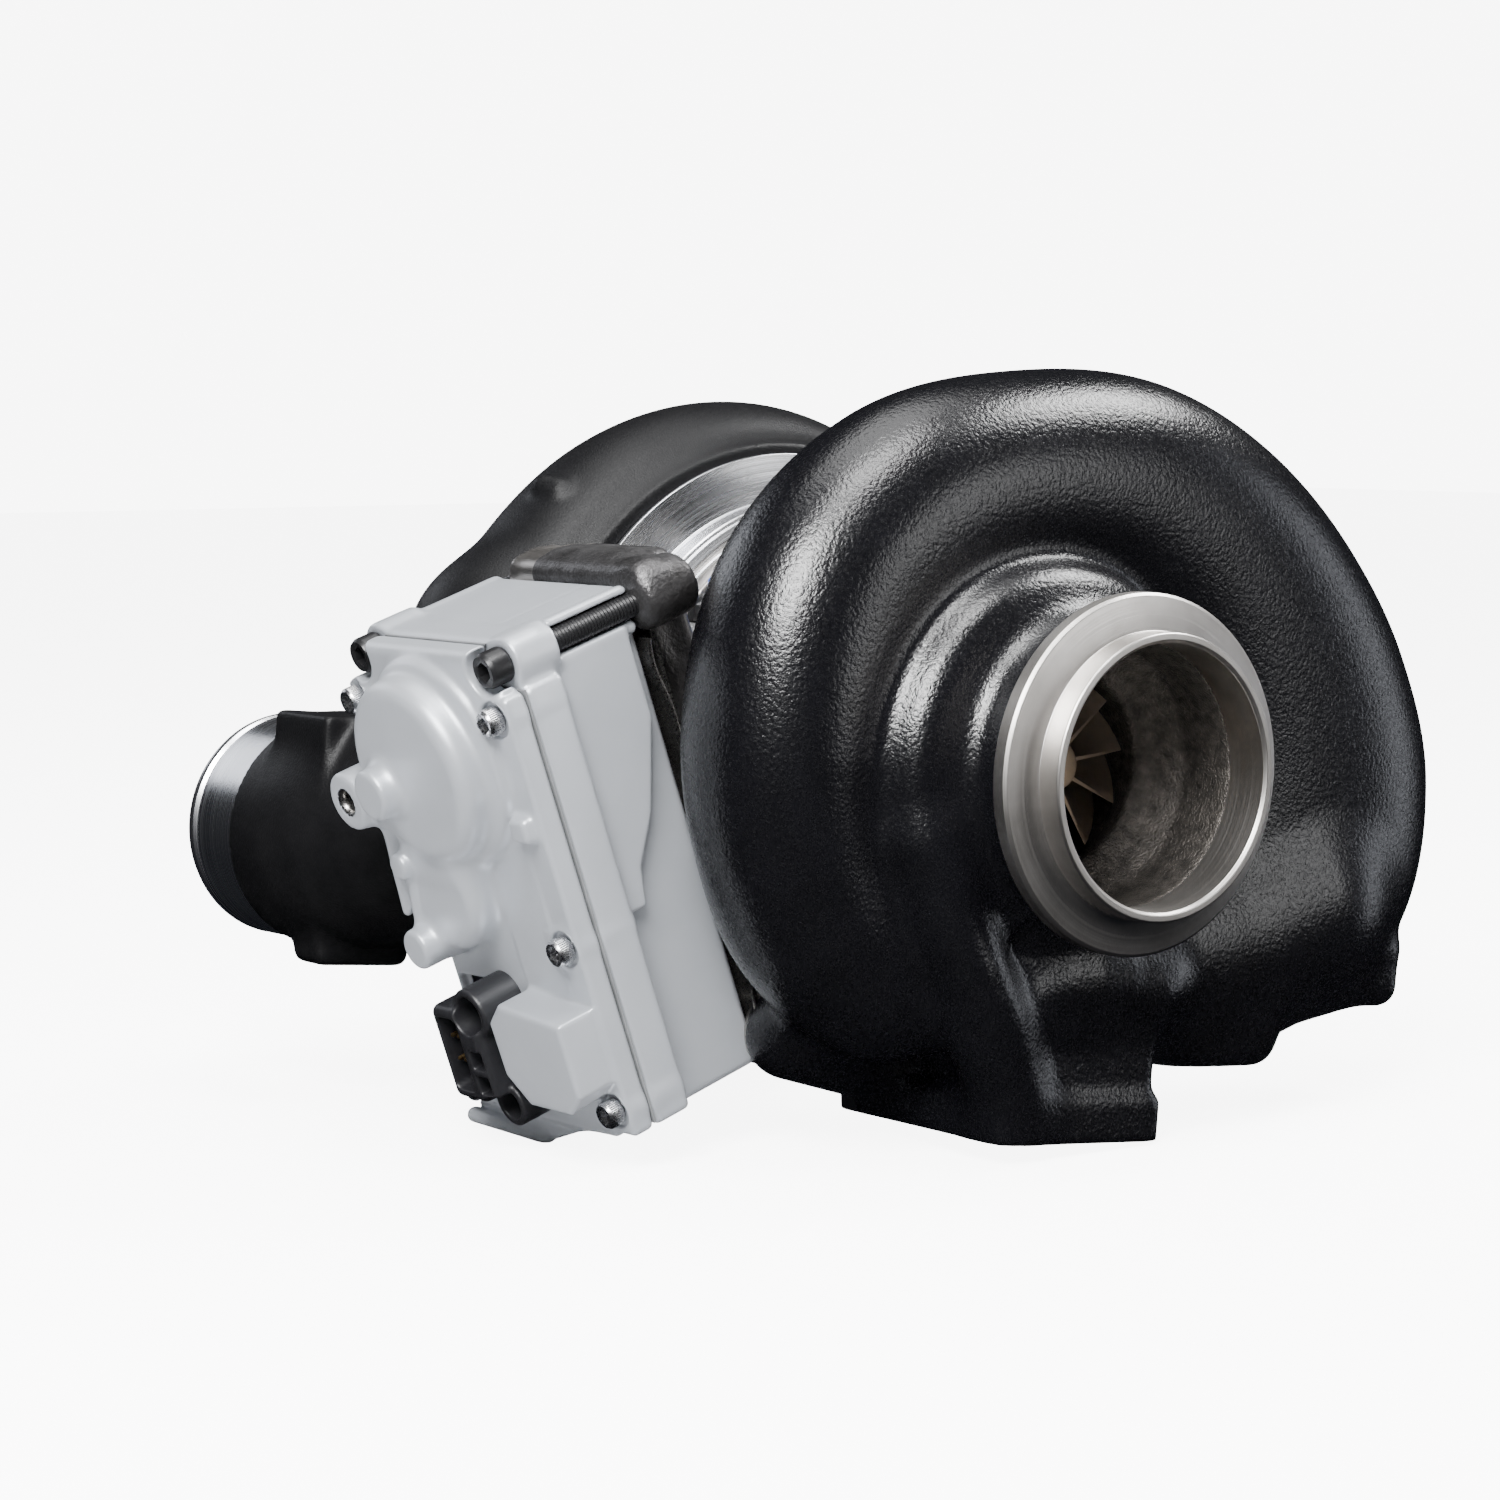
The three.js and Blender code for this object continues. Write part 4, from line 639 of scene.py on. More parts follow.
def outlet_flange():
    lathe("outlet_flange", [
        (40.3, -9.6), (41.3, SPIGOT_END), (43.0, SPIGOT_END), (43.5, -10.1), (43.5, -2.3), (44.3, -1.9),
        (54.0, -0.3), (55, 0.7), (55, 5.0), (54.2, 5.8), (47.6, 9.2), (46.6, 10.6), (44.5, 11.5),
        (40.3, 11.5),
    ], MACHINED_IRON, ["turbine_outlet_flange"], bevel=0.25)


def blade(hub, tip, wrap, thickness, turn):
    """Corner points of a wheel's blade: two skins of rows, each row from the hub to the tip."""
    rows, columns = 14, 6
    skins = []
    for side in (-1, 1):
        rows_of_points = []
        for i in range(rows):
            u = i / (rows - 1)
            hub_radius, hub_station = hub(u)
            tip_radius, tip_station = tip(u)
            taper = 0.35 + 0.65 * sin(pi * min(max(u, 0.05), 0.95)) ** 0.5
            line = []
            for j in range(columns):
                v = j / (columns - 1)
                radius = hub_radius + (tip_radius - hub_radius) * v
                station = hub_station + (tip_station - hub_station) * v
                half = thickness * (1.3 - 0.9 * v) * taper
                angle = turn + wrap(u) + side * half / max(radius, 4)
                line.append((radius * cos(angle), station, radius * sin(angle)))
            rows_of_points.append(line)
        skins.append(rows_of_points)
    return skins


def wheel(name, hub_profile, blades, material, nodes):
    """A wheel: a turned hub with its blades, in one mesh."""
    work = bmesh.new()
    rings = [ring_of(radius, station, 96) for radius, station in hub_profile]
    rows = [[work.verts.new(CORE @ Vector(point)) for point in ring] for ring in rings]
    skin(work, zip(rows, rows[1:]))
    for skins in blades:
        made = [[[work.verts.new(CORE @ Vector(point)) for point in line] for line in side] for side in skins]
        front, back = made
        for side in made:
            for lower, upper in zip(side, side[1:]):
                for j in range(len(lower) - 1):
                    work.faces.new((lower[j], lower[j + 1], upper[j + 1], upper[j]))
        for k in range(len(front) - 1):
            work.faces.new((front[k][-1], back[k][-1], back[k + 1][-1], front[k + 1][-1]))
            work.faces.new((front[k][0], front[k + 1][0], back[k + 1][0], back[k][0]))
        for k in (0, -1):
            for j in range(len(front[k]) - 1):
                work.faces.new((front[k][j], back[k][j], back[k][j + 1], front[k][j + 1]))
    finish_mesh(to_mesh(work, name, material), name, nodes, "rotor", sharp=38)


def turbine_wheel():
    """The wheel with its shaft, which reaches through to the compressor's nut."""
    nose, back, count = 38, 77, 11

    def hub_at(u):
        return 7.8 + 26.0 * u**3.2, nose + 5 + (back - nose - 6.5) * u**0.9

    def root(u):
        radius, station = hub_at(u)
        return radius - 1, station

    def tip(u):
        return 30 if u < 0.55 else 30 + 5 * ((u - 0.55) / 0.45) ** 1.6, 43 + 23 * u

    def wrap(u):
        return -0.95 * (1 - u) ** 1.7

    profile = [(TIP, nose), (6.2, nose), (7.3, nose + 0.5), (7.8, nose + 1.6)]
    profile += [hub_at(step / 16) for step in range(17)]
    profile += [(34.4, back - 0.6), (34.4, back), (11.5, back + 0.6), (8.7, back + 3.2), (8.7, 99), (5, 100),
                (5, 156.2), (4, 156.6), (4, 230), (3.4, 233), (TIP, 233)]
    blades = [blade(root, tip, wrap, 0.9, i * 2 * pi / count) for i in range(count)]
    wheel("turbine_wheel_and_shaft", profile, blades, WHEEL_ALLOY, ["turbine_wheel"])


def clamp_band():
    """The split band that holds the two flanges: a channel section swept round, with its ears."""
    middle, gap, steps = radians(118), radians(5.2), 150
    section = [(66.9, 102), (73, 102), (74, 103.4), (74, 115.2), (73, 116.6), (66.9, 116.6), (66.9, 115),
               (70.4, 114), (70.4, 104.6), (66.9, 103.6)]
    rings = []
    for i in range(steps + 1):
        angle = middle + gap + (2 * pi - 2 * gap) * i / steps
        rings.append([(r * cos(angle), s, r * sin(angle)) for r, s in section])
    loft("clamp_band", rings, CORE, STEEL, ["turbine_clamp"], caps=True, bevel=0.3)
    for side in (1, -1):
        rings = []
        for radius, half in ((70.5, 6.6), (76, 6.6), (84, 6.2), (87.5, 3.2)):
            line = []
            for thick, station in ((6.2, -half), (6.2, half), (9.6, half), (9.6, -half)):
                point = Matrix.Rotation(-middle, 4, "Y") @ Vector((radius, 109.3 + station, side * thick))
                line.append(point)
            rings.append(line)
        loft("clamp_ear_" + ("a" if side > 0 else "b"), rings, CORE, STEEL, caps=True, bevel=0.6)


# ------------ middle


def in_actuator(points):
    """The actuator's coordinates of points in the core frame."""
    x, y, z = points
    return [-x * COSINE - z * SINE, y, x * SINE - z * COSINE]


TOP_SCREWS = ((102.5, -86), (172, -87))
PLATE_BOLTS = (145, 62, -15, -62)  # degrees round the shaft
SENSOR_TURN = radians(142)
SENSOR_STATION = 134
OIL_STATION = 136
DRAIN_FACE = -80  # z of the oil drain's pad


def bearing_housing():
    """The cored drum between the two ends, with the actuator's arm and bosses and the oil pads."""
    grid = Grid((-122, 80, -98), (80, 166, 80), COARSE * 0.8)
    p = grid.points
    q = in_actuator(p)
    drum = turned(p, [
        (-20, 81), (28, 81), (37, 84), (37.4, 98), (60.2, 98), (60.2, 109.4), (70, 109.4), (70, 114),
        (61.5, 117), (58.5, 128), (58.5, 145), (60, 154), (-20, 154),
    ])
    collar = turned(p, [(-20, 155), (72.2, 155), (72.2, 162.2), (-20, 162.2)], 0.2)
    arm = blend_all([
        box(q, (40, 82), (117, 161), (-60, 42), 8),
        box(q, (62, 84), (117.2, 161.5), (-94, 66), 5),
        box(q, (78, 84), (117.2, 171), (-94, 66), 2.5),
    ], 8)
    body = blend(drum, arm, 8)
    body = blend(body, box(q, (78.5, 91.5), (97, 178), (-97, -79), 5), 4)
    for station, down in TOP_SCREWS:
        ear = post(q, station, down, 72, 91.7, 9.5, 3)
        web = box(q, (70, 84), (min(station, 118), max(station, 160)), (down - 8, down + 8), 5)
        body = blend(body, blend(ear, web, 5), 5)
    sensor_x, sensor_z = cos(SENSOR_TURN), sin(SENSOR_TURN)
    body = blend_each(body, [
        (box(p, (-24, 24), (118, 154), (-80, -44), 3), 8),
        (capsule(p, (-20, 122, -66), (-46, 118, -74), 16, 13), 10),
        (bar(p, (0, OIL_STATION, 48), (0, OIL_STATION, 70), 12, 1.2), 5),
        (bar(p, (45 * sensor_x, SENSOR_STATION, 45 * sensor_z),
             (66 * sensor_x, SENSOR_STATION, 66 * sensor_z), 9, 1), 5),
        (collar, 2.5),
    ])
    body = common(body, DRAIN_FACE - p[2], 0.8)
    body = carve_each(body, [
        (bar(p, (0, OIL_STATION, -90), (0, OIL_STATION, -40), 9, 0.2), 0.8),
        (turned(p, [(-20, 70), (9.6, 70), (9.6, 170), (-20, 170)]), 0.5),
        (turned(p, [(-20, 155), (20, 155), (20, 170), (-20, 170)]), 0.5),
    ])

    def flats(x, y, z):
        return (np.hypot(x, z) > 61) & (y > 154.6) | (z < DRAIN_FACE + 0.4)

    def rims(x, y, z):
        radius = np.hypot(x, z)
        return (radius > 59) & (radius < 71) & (y > 97) & (y < 114.2)

    cast("bearing_casting", grid, body, CORE, [(DARK_IRON, None), (FACED_IRON, flats), (FACED_IRON, rims)],
         ["bearing_housing"])


def back_plate():
    lathe("back_plate", [
        (26, 162.5), (72.4, 162.5), (72.6, 163.1), (74.3, 163.1), (74.3, 162.7), (75, 162.7), (77.6, 164.2),
        (77.6, 165.3), (78.4, 165.6), (79, 166.2), (79, 173.4), (79.4, 174), (92.4, 176.6), (94, 176.8),
        (94.2, 177.2), (94.2, 178.3), (93.9, 178.6), (87.8, 178.6), (87.8, 181), (46, 181), (44, 179),
        (26, 179),
    ], MACHINED_ALUMINIUM, ["diffuser_plate"], count=192)


def flange_bolt(index, angle):
    """A flanged hexagon bolt that clamps the back plate, its head towards the turbine."""
    turn = radians(angle)
    seat = (67.2 * cos(turn), 154.4, 67.2 * sin(turn))
    rings = stack(
        48,
        (ring_of, [(TIP, -17), (2.7, -17), (3, -16.5), (3, 0), (5.9, 0), (6.1, 0.4), (5.6, 1.1)]),
        (hexagon, [(5.2, 1.5), (5.2, 5.0)]),
        (ring_of, [(4.6, 5.6), (3.6, 5.6), (3.3, 5.1), (TIP, 5.0)]),
    )
    loft(f"plate_bolt_{index}_head", rings, CORE @ spin(seat, (0, -1, 0)), BLACK_STEEL,
         [f"plate_bolt_{index}"], sharp=30)


def speed_sensor():
    axis = (cos(SENSOR_TURN), 0, sin(SENSOR_TURN))
    seat = (66.3 * axis[0], SENSOR_STATION, 66.3 * axis[2])
    rings = stack(
        64,
        (ring_of, [(TIP, -18), (4, -18), (4, 0), (6.5, 0), (6.7, 0.3), (6.7, 3.0), (6.2, 3.4), (6.2, 4.4)]),
        (coarse_knurl, [(6.7, 4.8), (6.7, 12.5)]),
        (ring_of, [(6.2, 13.2), (4.4, 15.6), (3.4, 15.6), (3.2, 12), (TIP, 12)]),
    )
    loft("speed_sensor_cap", rings, CORE @ spin(seat, axis), BLUE_PLASTIC, ["speed_sensor"])


def oil_adapter():
    """The threaded fitting of the oil feed, on top of the drum."""
    n = 64
    rings = stack(n, (ring_of, [(2.7, -14), (4.4, -14)]))
    rings += threaded(4.6, -13.4, -0.8, 1.3, n)
    rings += stack(
        n,
        (ring_of, [(4.2, -0.4), (9.2, 0.3)]),
        (hexagon, [(10, 0.9), (10, 5.4)]),
        (ring_of, [(8.6, 6), (5.6, 6.2), (5.6, 7.4)]),
    )
    rings += threaded(6.9, 8, 14.6, 1.4, n)
    rings += stack(n, (ring_of, [(6.2, 15.8), (3.4, 15.8), (2.7, 14.6)]))
    loft("oil_adapter_fitting", rings, CORE @ spin((0, OIL_STATION, 70), (0, 0, 1)), STEEL,
         ["oil_inlet_adapter"], closed=True, sharp=30)


# ------------ compressor side

SCROLL_RIM = [
    (-150, 96), (-90, 99), (-30, 103), (30, 107), (90, 111), (125, 113), (150, 116), (168, 121), (184, 127),
]
ELBOW = [
    (-93, 209, 22, 33), (-96, 210, 4, 35), (-100, 214, -16, 37.5), (-109, 229, -34, 39), (-116, 248, -42, 39),
    (DISCHARGE[0], 266, DISCHARGE[1], 38.8), (DISCHARGE[0], 276, DISCHARGE[1], 38.4),
]


def compressor_cover():
    """The scroll with its inlet throat and the elbow that ends in the discharge pipe."""
    grid = Grid((-162, 177, -104), (108, 279, 118), COARSE)
    p = grid.points
    shell = turned(p, [
        (-20, 179), (96.4, 179), (97, 180), (97, 184), (88, 200), (64, 222), (54, 234), (51, 246), (51, 270),
        (-20, 270),
    ])
    scroll = snail(p, -150, 184, lambda angle: eased(SCROLL_RIM, angle), 56, 209, 29.8, 2.2)
    body = blend_each(shell, [
        (scroll, 8),
        (common(tube(p, ELBOW), p[1] - 270.5, 0.8), 8),
        (box(p, (-148, -112), (228, 262), (-30, -3.5), 2), 5),
        (box(p, (-136, -100), (243, 262), (-87, -60), 4), 5),
        (capsule(p, (-83, 200, 75), (-85, 206, 76), 4), 4),
    ])
    body = common(body, 178.9 - p[1], 0.6)
    bore = turned(p, [
        (-20, 170), (89, 170), (89, 181.4), (78, 181.4), (78, 190), (44, 190), (43.8, 191), (36, 200),
        (31.5, 212), (31, 221), (34, 232), (44, 262), (44, 290), (-20, 290),
    ])
    body = carve(body, bore, 0.8)
    pipe_x, pipe_z = DISCHARGE
    body = carve(body, bar(p, (pipe_x, 250, pipe_z), (pipe_x, 290, pipe_z), 32.5, 0.5), 1)

    def inside(x, y, z):
        return (np.hypot(x, z) < 45) & (y > 182)

    def in_pipe(x, y, z):
        return (np.hypot(x - pipe_x, z - pipe_z) < 33.5) & (y > 240)

    cast("compressor_casting", grid, body, CORE,
         [(SATIN_BLACK, None), (MACHINED_ALUMINIUM, inside), (DISCHARGE_ALUMINIUM, in_pipe)],
         ["compressor_cover"])


def hose_spigots():
    """The machined ends with their beads, at the discharge and at the inlet."""
    lathe("discharge_spigot", [
        (32.6, 266), (37.6, 266), (37.9, 292.4), (36.4, 293.4), (36.2, 294.4), (36.4, 295.4), (37.7, 296.6),
        (38, 297.6), (37.7, 298.8), (37.0, 299.4), (36.9, 300.6), (36.4, 301.3), (33.6, 301.3), (32.6, 300.3),
    ], DISCHARGE_ALUMINIUM, centre=DISCHARGE)
    lathe("inlet_spigot", [
        (44.1, 262), (51.2, 262), (51.2, 270.6), (50.6, 271.2), (50.6, 272.4), (52.2, 273.6), (52.2, 275.2),
        (51.6, 276), (45, 276), (44.1, 275.2),
    ], MACHINED_ALUMINIUM)


def compressor_wheel():
    """The impeller, whose long and short blades alternate."""
    back, tip_radius, inlet_radius, length, count = 182.6, 42.2, 29.6, 38, 6
    short = 0.68  # share of the long blades' reach that the short ones have

    def hub_at(u):
        return 10 + (tip_radius - 10) * (1 - u) ** 2.4, back + 2.2 + (length - 2.2) * u**1.25

    def root(u):
        radius, station = hub_at(u * 0.93)
        return radius - 0.9, station - 0.4

    def tip(u):
        reach = tip_radius - (tip_radius - inlet_radius) * min(1, 1.5 * u) ** 0.8
        return reach, back + 7 + (length - 9) * u

    def wrap(u):
        return 1.05 * u**1.5 - 0.35 * (1 - u) ** 2

    profile = [(4.5, back - 1.4), (12, back - 1.4), (14, back), (tip_radius, back), (tip_radius, back + 1.6)]
    profile += [hub_at(step / 18) for step in range(19)]
    profile += [(4.5, back + length)]
    blades = []
    for i in range(count):
        turn = i * 2 * pi / count
        blades.append(blade(root, tip, wrap, 0.7, turn))
        blades.append(blade(lambda u: root(u * short), lambda u: tip(u * short), lambda u: wrap(u * short),
                            0.7, turn + pi / count))
    wheel("compressor_impeller", profile, blades, WHEEL_ALUMINIUM, ["compressor_wheel"])
    rings = stack(
        48,
        (ring_of, [(4.5, 0), (8.4, 0), (8.6, 0.3), (8.6, 2)]),
        (hexagon, [(8, 2.3), (8, 9)]),
        (ring_of, [(7.2, 9.9), (5.2, 9.9), (4.5, 9.2)]),
    )
    loft("rotor_nut_hex", rings, CORE @ Matrix.Translation((0, back + length + 0.3, 0)), STEEL,
         ["rotor_nut"], "rotor", closed=True, sharp=30)


# ------------ actuator

BODY_BACK, BODY_FRONT = 92, 141.2
COVER_SEAT, COVER_FACE = 142.05, 150
SIDE_LUG = (176, -45)  # station and down of the lug with the tapped hole
LID_SCREWS = ((101.5, -71.5), (178, -73.5), (101.5, 3), (178, 6), (101, 57), (178, 60))
RIM_NEAR, RIM_BACK = 94.5, 127.5  # the broad rim's side towards the turbine, and its edge towards the shaft


def screw_ears(points, low, high, radius, flare=0.0):
    """Round ears for the cover's screws, each bridged to the side of the body."""
    whole = None
    for station, down in LID_SCREWS:
        ear = post(points, station, down, low, high, radius - flare, 0.8, radius)
        web = box(points, (low, high), (min(station, 168), max(station, 110)),
                  (down - radius * 0.8, down + radius * 0.8), 1)
        ear = blend(ear, web, 3)
        whole = ear if whole is None else np.minimum(whole, ear)
    return whole


def actuator_housing():
    """The tray that holds the gears and the motor, with its broad rim and the long screws' channels."""
    grid = Grid((90, 91, -100), (143, 187, 72), FINE)
    p = grid.points
    panel = plate(p, [
        (98, -86), (130, -86), (130, 2), (119, 2), (117, -10), (108, -24), (98, -52),
    ], 99.5, 120, 1.2, 1)
    body = blend_each(box(p, (BODY_BACK, BODY_FRONT), (105, 173), (-92, 68), 3.2), [
        (panel, 2),
        (box(p, (RIM_BACK, BODY_FRONT), (RIM_NEAR, 130), (-78, 65.5), 2), 2),
        (box(p, (RIM_BACK, BODY_FRONT), (97, 176), (-92.3, -60), 3.5), 3),
        (screw_ears(p, RIM_BACK, BODY_FRONT, 6.3, 1.0), 2.5),
    ])
    for station, down in TOP_SCREWS:
        near = -1 if station < DRIVE_STATION else 1  # which way along the shaft the wall faces
        body = blend(body, post(p, station, down, 125, BODY_FRONT, 7.6, 1.2), 3)
        rail_station = station - near * 0.5
        for rail_down in (-90.8, -79.5):
            rail = capsule(p, (95, rail_station, rail_down), (128, rail_station, rail_down), 1.9)
            body = blend(body, rail, 2.5)
        body = blend(body, box(p, (94, 128), (min(station, 120), max(station, 120)), (-92, -78), 2), 2)
        body = carve(body, post(p, station + near * 2.5, down, 97, 126, 4.6, 1), 1)
        body = carve(body, post(p, station, down, 80, 160, 4.3, 0.2), 0.4)
    body = carve(body, box(p, (97, 123), (172.1, 180), (-60, 44), 0.8), 2.5)
    body = blend(body, bar(p, (100, DRIVE_STATION, 60), (100, DRIVE_STATION, 71), 9, 1), 3)
    body = common(body, p[0] - BODY_FRONT, 0.4)
    body = carve(body, box(p, (98, 150), (110.5, 167.5), (-82, 62), 3), 0.5)
    cast("actuator_casting", grid, body, ACTUATOR, [(SILVER_PAINT, None)], ["actuator_housing"])


def cover_shape(p):
    """The cover's outside: its flange, the domes over the gears, the ribs, bosses, hood and tab."""
    flange = blend_each(box(p, (COVER_SEAT, COVER_FACE), (105.3, 172.7), (-91.5, 67.5), 1.8), [
        (box(p, (COVER_SEAT, COVER_FACE), (RIM_NEAR, 130), (-78, 65.5), 1.8), 1.5),
        (box(p, (COVER_SEAT, COVER_FACE), (97, 176), (-92.3, -60), 3), 2),
        (screw_ears(p, COVER_SEAT, COVER_FACE, 6.3), 2),
    ])
    step = post(p, 137, OUTPUT_DOWN, COVER_SEAT, 154, 33.5, 2.5)
    step = common(step, box(p, (130, 170), (103.6, 174.5), (-93, 70), 3), 2)
    dome = blend_all([
        post(p, DRIVE_STATION, OUTPUT_DOWN, 146, 164, 29.5, 5),
        post(p, 150, -15, 146, 161, 20.5, 5),
        box(p, (146, 160), (133, 169.5), (-52, -17), 4),
        post(p, 142, -27, 146, 158, 14.5, 4),
    ], 4)
    lug = blend(post(p, *SIDE_LUG, 150, 166.5, 9.5, 1.6), box(p, (148, 164), (150, 178), (-53, -36), 3), 3)
    hood = plate(p, [
        (96, 22), (128, 19), (136, 26), (135.5, 44), (126, 53), (104, 53), (96, 46),
    ], 146, 164, 1.6)
    tab = plate(p, [
        (112, 60), (176, 60), (187, 69), (180, 77), (150, 77), (132, 71), (112, 66),
    ], 143, 148.4, 1.6)
    lip = capsule(p, (148, 152, 75), (152, 184, 71), 2.6)
    return blend_each(flange, [
        (step, 2.5),
        (dome, 4),
        (post(p, 152, -51, 158, 171.4, 8.8, 1.6, 8.2), 5),
        (lug, 4),
        (post(p, 160, -24, 158, 165.3, 4.3, 1.4), 2.2),
        (capsule(p, (160.6, 155, -44), (161, 165, 0), 1.3), 2.5),
        (capsule(p, (159, 169, -38), (160, 171, -6), 1.6), 3),
        (post(p, 160, 3, 148, 168, 6.6, 1.6), 3.5),
        (capsule(p, (152, 150, -6), (153, 160, 3), 6), 4),
        (box(p, (146, 154.5), (97, 106), (-41, -33), 2), 2.5),
        (hood, 2.0),
        (blend(tab, lip, 2.5), 3),
    ])


def actuator_cover():
    grid = Grid((140, 91, -99), (174, 187, 80), FINE)
    p = grid.points
    body = common(cover_shape(p), COVER_SEAT - p[0], 0.4)
    for station, down in TOP_SCREWS:
        body = carve(body, post(p, station, down, 130, 160, 7.6, 0.3), 1)
    for station, down in LID_SCREWS:
        body = carve(body, post(p, station, down, COVER_FACE - 1.2, 162, 5.8, 0.2), 0.8)
        body = carve(body, post(p, station, down, 130, 160, 2.8, 0.2), 0.3)
    body = carve_each(body, [
        (post(p, *SIDE_LUG, 150, 168, 3.3, 0.2), 0.3),
        (post(p, *SIDE_LUG, 165, 168, 3.3, 0.2, 5.2), 0.3),
        (box(p, (147, 175), (137, 170), (20, 58), 1.5), 0.8),
        (post(p, DRIVE_STATION, OUTPUT_DOWN, 120, 159, 26, 1), 0.5),
        (post(p, DRIVE_STATION, IDLER_DOWN, 120, 155, 10.6, 1), 0.5),
        (box(p, (130, 147), (109, 169), (-78, 64), 2), 0.5),
    ])

    def in_lug(out, station, down):
        return (np.hypot(station - SIDE_LUG[0], down - SIDE_LUG[1]) < 4.6) & (out > 150.5)

    cast("actuator_cover_casting", grid, body, ACTUATOR, [(SILVER_PAINT, None), (STEEL, in_lug)],
         ["actuator_cover"])


def connector():
    """The black plug housing: a round port at each end, and square ports beside the well of the pins."""
    grid = Grid((138, 130, 12), (174, 168, 66), FINE * 0.8)
    p = grid.points
    body = blend_all([
        box(p, (144, 168), (139, 163), (22, 54), 3),
        post(p, 143.5, 24, 146, 165.5, 8.5, 1.2),
        post(p, 142, 56, 146, 162, 7.5, 1.2),
    ], 1.2)
    body = blend(body, box(p, (152, 162), (161, 165.4), (34, 42), 0.8), 0.6)
    body = carve_each(body, [
        (post(p, 143.5, 24, 154, 176, 6, 0.5), 0.6),
        (post(p, 142, 56, 153, 176, 5.2, 0.5), 0.6),
        (box(p, (155, 176), (140.5, 146.5), (35.5, 41.9), 0.8), 0.5),
        (box(p, (155, 176), (140.5, 146.5), (44, 50.4), 0.8), 0.5),
        (box(p, (156, 176), (149.5, 160.5), (25.5, 50.5), 2.4), 0.6),
        (box(p, (152, 158), (162, 166), (36.5, 39.5), 0.4), 0.3),
    ])
    cast("connector_shell", grid, body, ACTUATOR, [(BLACK_PLASTIC, None)], ["connector"])
    pin = stack(12, (ring_of, [(TIP, 0), (0.8, 0), (0.8, 9), (TIP, 9.6)]))
    for i in range(6):
        place = post_frame(151.5 + 3.5 * (i % 3), 33 + 8 * (i // 3), 156)
        loft(f"connector_pin_{i + 1}", pin, place, BRONZE)


def actuator_screws():
    """The two long mounting screws with their bare threads, and the cover's six screws."""
    n = 48
    thread = [ring_of(TIP, 0, n), ring_of(3.4, 0, n), *threaded(3.95, 0.6, 52, 1.25, n), ring_of(TIP, 53, n)]
    for i, (station, down) in enumerate(TOP_SCREWS, 1):
        name = f"mount_screw_{i}"
        socket_screw(name + "_head", post_frame(station, down, 141.4), 3.6, 5.6, 7.6, 14, BLACK_STEEL, [name])
        loft(name + "_thread", thread, post_frame(station, down, 75), BLACK_STEEL, sharp=20)
    for i, (station, down) in enumerate(LID_SCREWS, 1):
        name = f"cover_screw_{i}"
        seat = post_frame(station, down, COVER_FACE - 0.3)
        socket_screw(name + "_head", seat, 2.5, 4.4, 5, 16, ZINC, [name])


def actuator_plate():
    """The sheet between actuator and bearing housing: its rim is bent in soft waves."""
    n = 60
    rings = []
    for i in range(n + 1):
        t = i / n
        down = -74 + 144 * t
        wave = 1.6 * sin(2 * pi * (2.2 * t + 0.15)) + 0.7 * sin(2 * pi * 5.1 * t)
        out = 89.4 + wave * 0.8
        near = 99.8 + 0.9 * sin(2 * pi * 1.4 * t)
        rings.append([
            (out - 0.5, 172.5, down), (out + 0.5, 172.5, down), (out + 0.5, near + 1.5, down),
            (out + 1.9, near, down), (out + 0.9, near, down), (out - 0.5, near + 1.2, down),
        ])
    loft("heat_sheet", rings, ACTUATOR, STEEL, caps=True, sharp=50)


# ------------ studio


def camera():
    """The camera looks along the shaft from the turbine's side, a little from the left, slightly rolled."""
    azimuth, elevation, roll = radians(-37.10), radians(2.08), radians(4.24)
    data = bpy.data.cameras.new("camera")
    data.lens = 93.3
    data.sensor_width = 36
    back = Vector((sin(azimuth) * cos(elevation), -cos(azimuth) * cos(elevation),
                   sin(elevation)))
    right = Vector((cos(azimuth), sin(azimuth), 0))
    up = back.cross(right)
    turned_right = right * cos(roll) + up * sin(roll)
    turned_up = up * cos(roll) - right * sin(roll)
    turn = Matrix((turned_right, turned_up, back)).transposed().to_4x4()
    made = link_object("camera", data)
    made.matrix_world = Matrix.Translation((-0.7973, -0.9340, 0.1582)) @ turn
    bpy.context.scene.camera = made


def glow_when_seen(material, unseen, seen):
    """Gives a material one glow to the camera and another to all other rays."""
    tree = material.node_tree
    shader = tree.nodes["Principled BSDF"]
    fill(shader, [("Emission Color", (1, 1, 1, 1))])
    path = add_node(tree, "ShaderNodeLightPath")
    glow = add_node(tree, "ShaderNodeMapRange", [("To Min", unseen), ("To Max", seen)])
    tree.links.new(path.outputs["Is Camera Ray"], glow.inputs["Value"])
    tree.links.new(glow.outputs["Result"], shader.inputs["Emission Strength"])


def floor():
    """A pale floor that meets the lowest point of the actuator and the far edge of the inlet foot."""
    foot_edge = 0.0493
    actuator_x, actuator_z = -0.106, cad_bounds[0][2]
    tilt = atan2(-actuator_z, foot_edge - actuator_x)
    drop = 0.0006
    work = bmesh.new()
    bmesh.ops.create_grid(work, x_segments=8, y_segments=8, size=6)
    mesh = bpy.data.meshes.new("floor")
    work.to_mesh(mesh)
    work.free()
    mesh.transform(Matrix.Translation((foot_edge, 0, -drop)) @ Matrix.Rotation(-tilt, 4, "Y"))
    pale = surface("pale_floor", (0.86, 0.86, 0.87), 0.7, grain=40, depth=0.0, tint=(0.84, 0.84, 0.85),
                   tint_scale=3)
    glow_when_seen(pale, 0.04, 7.0)
    mesh.materials.append(pale)
    made = link_object("floor", mesh)
    made.visible_glossy = False


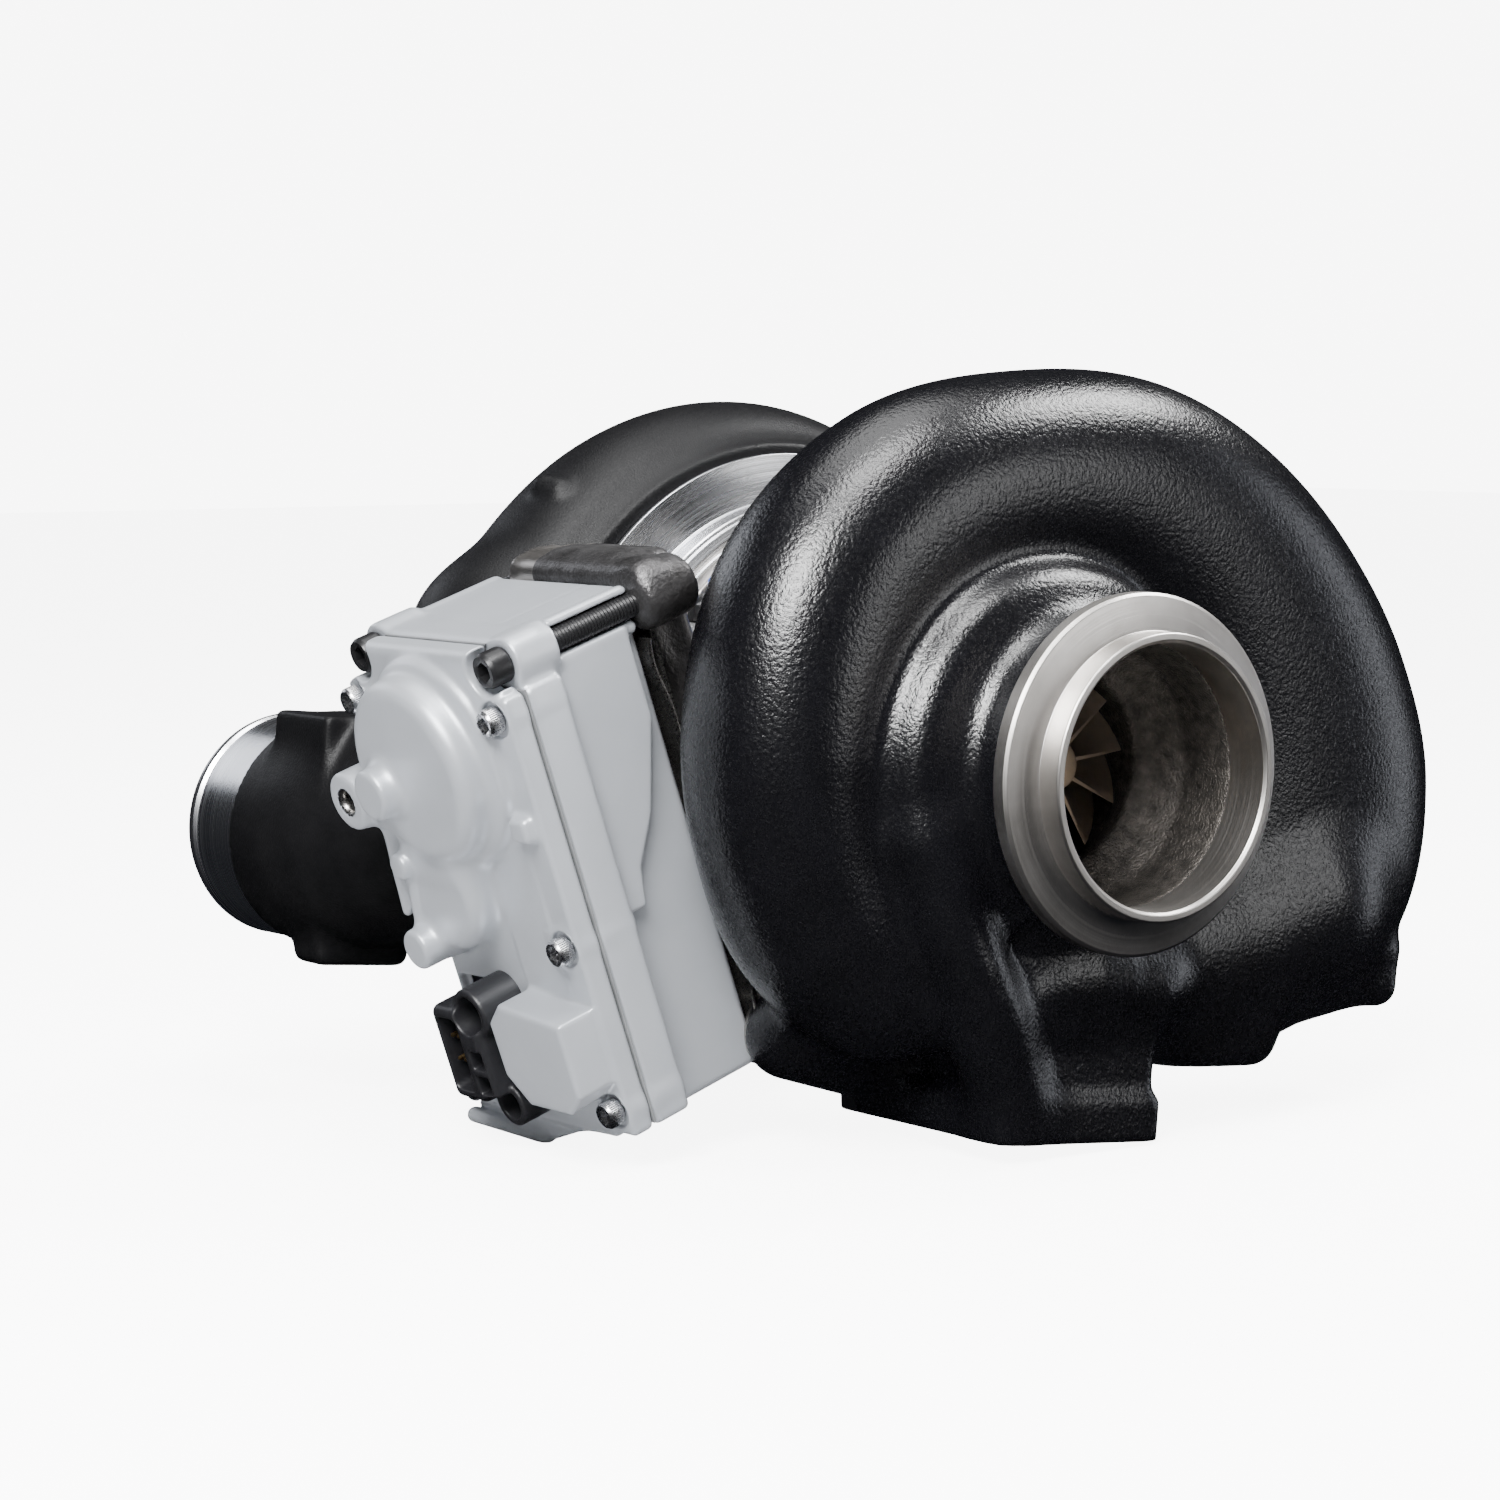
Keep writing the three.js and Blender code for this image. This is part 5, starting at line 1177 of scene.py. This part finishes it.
def backdrop():
    """White to the camera, dim to the object, so that its blacks stay deep."""
    world = bpy.data.worlds.new("studio")
    bpy.context.scene.world = world
    world.use_nodes = True
    tree = world.node_tree
    link = tree.links.new
    ambient = tree.nodes["Background"]
    fill(ambient, [("Color", (0.9, 0.92, 1.0, 1)), ("Strength", 0.1)])
    mirrored = add_node(tree, "ShaderNodeBackground", [("Color", (0.75, 0.8, 1.0, 1)), ("Strength", 0.015)])
    shown = add_node(tree, "ShaderNodeBackground", [("Color", (1, 1, 1, 1)), ("Strength", 8.0)])
    path = add_node(tree, "ShaderNodeLightPath")
    unseen = add_node(tree, "ShaderNodeMixShader")
    whole = add_node(tree, "ShaderNodeMixShader")
    link(path.outputs["Is Glossy Ray"], unseen.inputs[0])
    link(ambient.outputs[0], unseen.inputs[1])
    link(mirrored.outputs[0], unseen.inputs[2])
    link(path.outputs["Is Camera Ray"], whole.inputs[0])
    link(unseen.outputs[0], whole.inputs[1])
    link(shown.outputs[0], whole.inputs[2])
    link(whole.outputs[0], tree.nodes["World Output"].inputs["Surface"])


SOFTBOXES = [  # name, place, width, height, power, tint
    ("key", (-1.15, -0.75, 1.05), 0.7, 0.8, 80, (1, 1, 1)),
    ("arc", (-0.3, -0.4, 1.5), 0.6, 0.5, 20, (1, 1, 1)),
    ("crest", (0.9, -0.2, 1.35), 0.6, 0.5, 24, (1, 1, 1)),
    ("front", (0.75, -1.25, 0.45), 0.45, 0.6, 3.5, (1, 1, 1)),
    ("top", (-0.1, 0.3, 1.5), 0.9, 0.9, 9, (1, 1, 1)),
    ("rim_right", (1.4, -0.35, 0.35), 0.2, 0.9, 2, (0.9, 0.93, 1.0)),
    ("rim_back", (-0.5, 1.6, 0.8), 1.0, 0.5, 4, (0.9, 0.93, 1.0)),
]


def lights():
    """Soft boxes round the object, all turned to its middle."""
    middle = Vector((0, 0.05, 0.11))
    for name, place, width, height, power, tint in SOFTBOXES:
        light = bpy.data.lights.new(name, "AREA")
        light.shape = "RECTANGLE"
        light.size = width
        light.size_y = height
        light.energy = power
        light.color = tint
        aim = (middle - Vector(place)).to_track_quat("-Z", "Y")
        link_object(name, light).matrix_world = Matrix.Translation(place) @ aim.to_matrix().to_4x4()


# ------------ everything

dress_frame()
turbine_housing()
outlet_flange()
turbine_wheel()
clamp_band()
bearing_housing()
back_plate()
for number, plate_angle in enumerate(PLATE_BOLTS, 1):
    flange_bolt(number, plate_angle)
speed_sensor()
oil_adapter()
compressor_cover()
hose_spigots()
compressor_wheel()
actuator_housing()
actuator_cover()
connector()
actuator_screws()
actuator_plate()
camera()
floor()
backdrop()
lights()
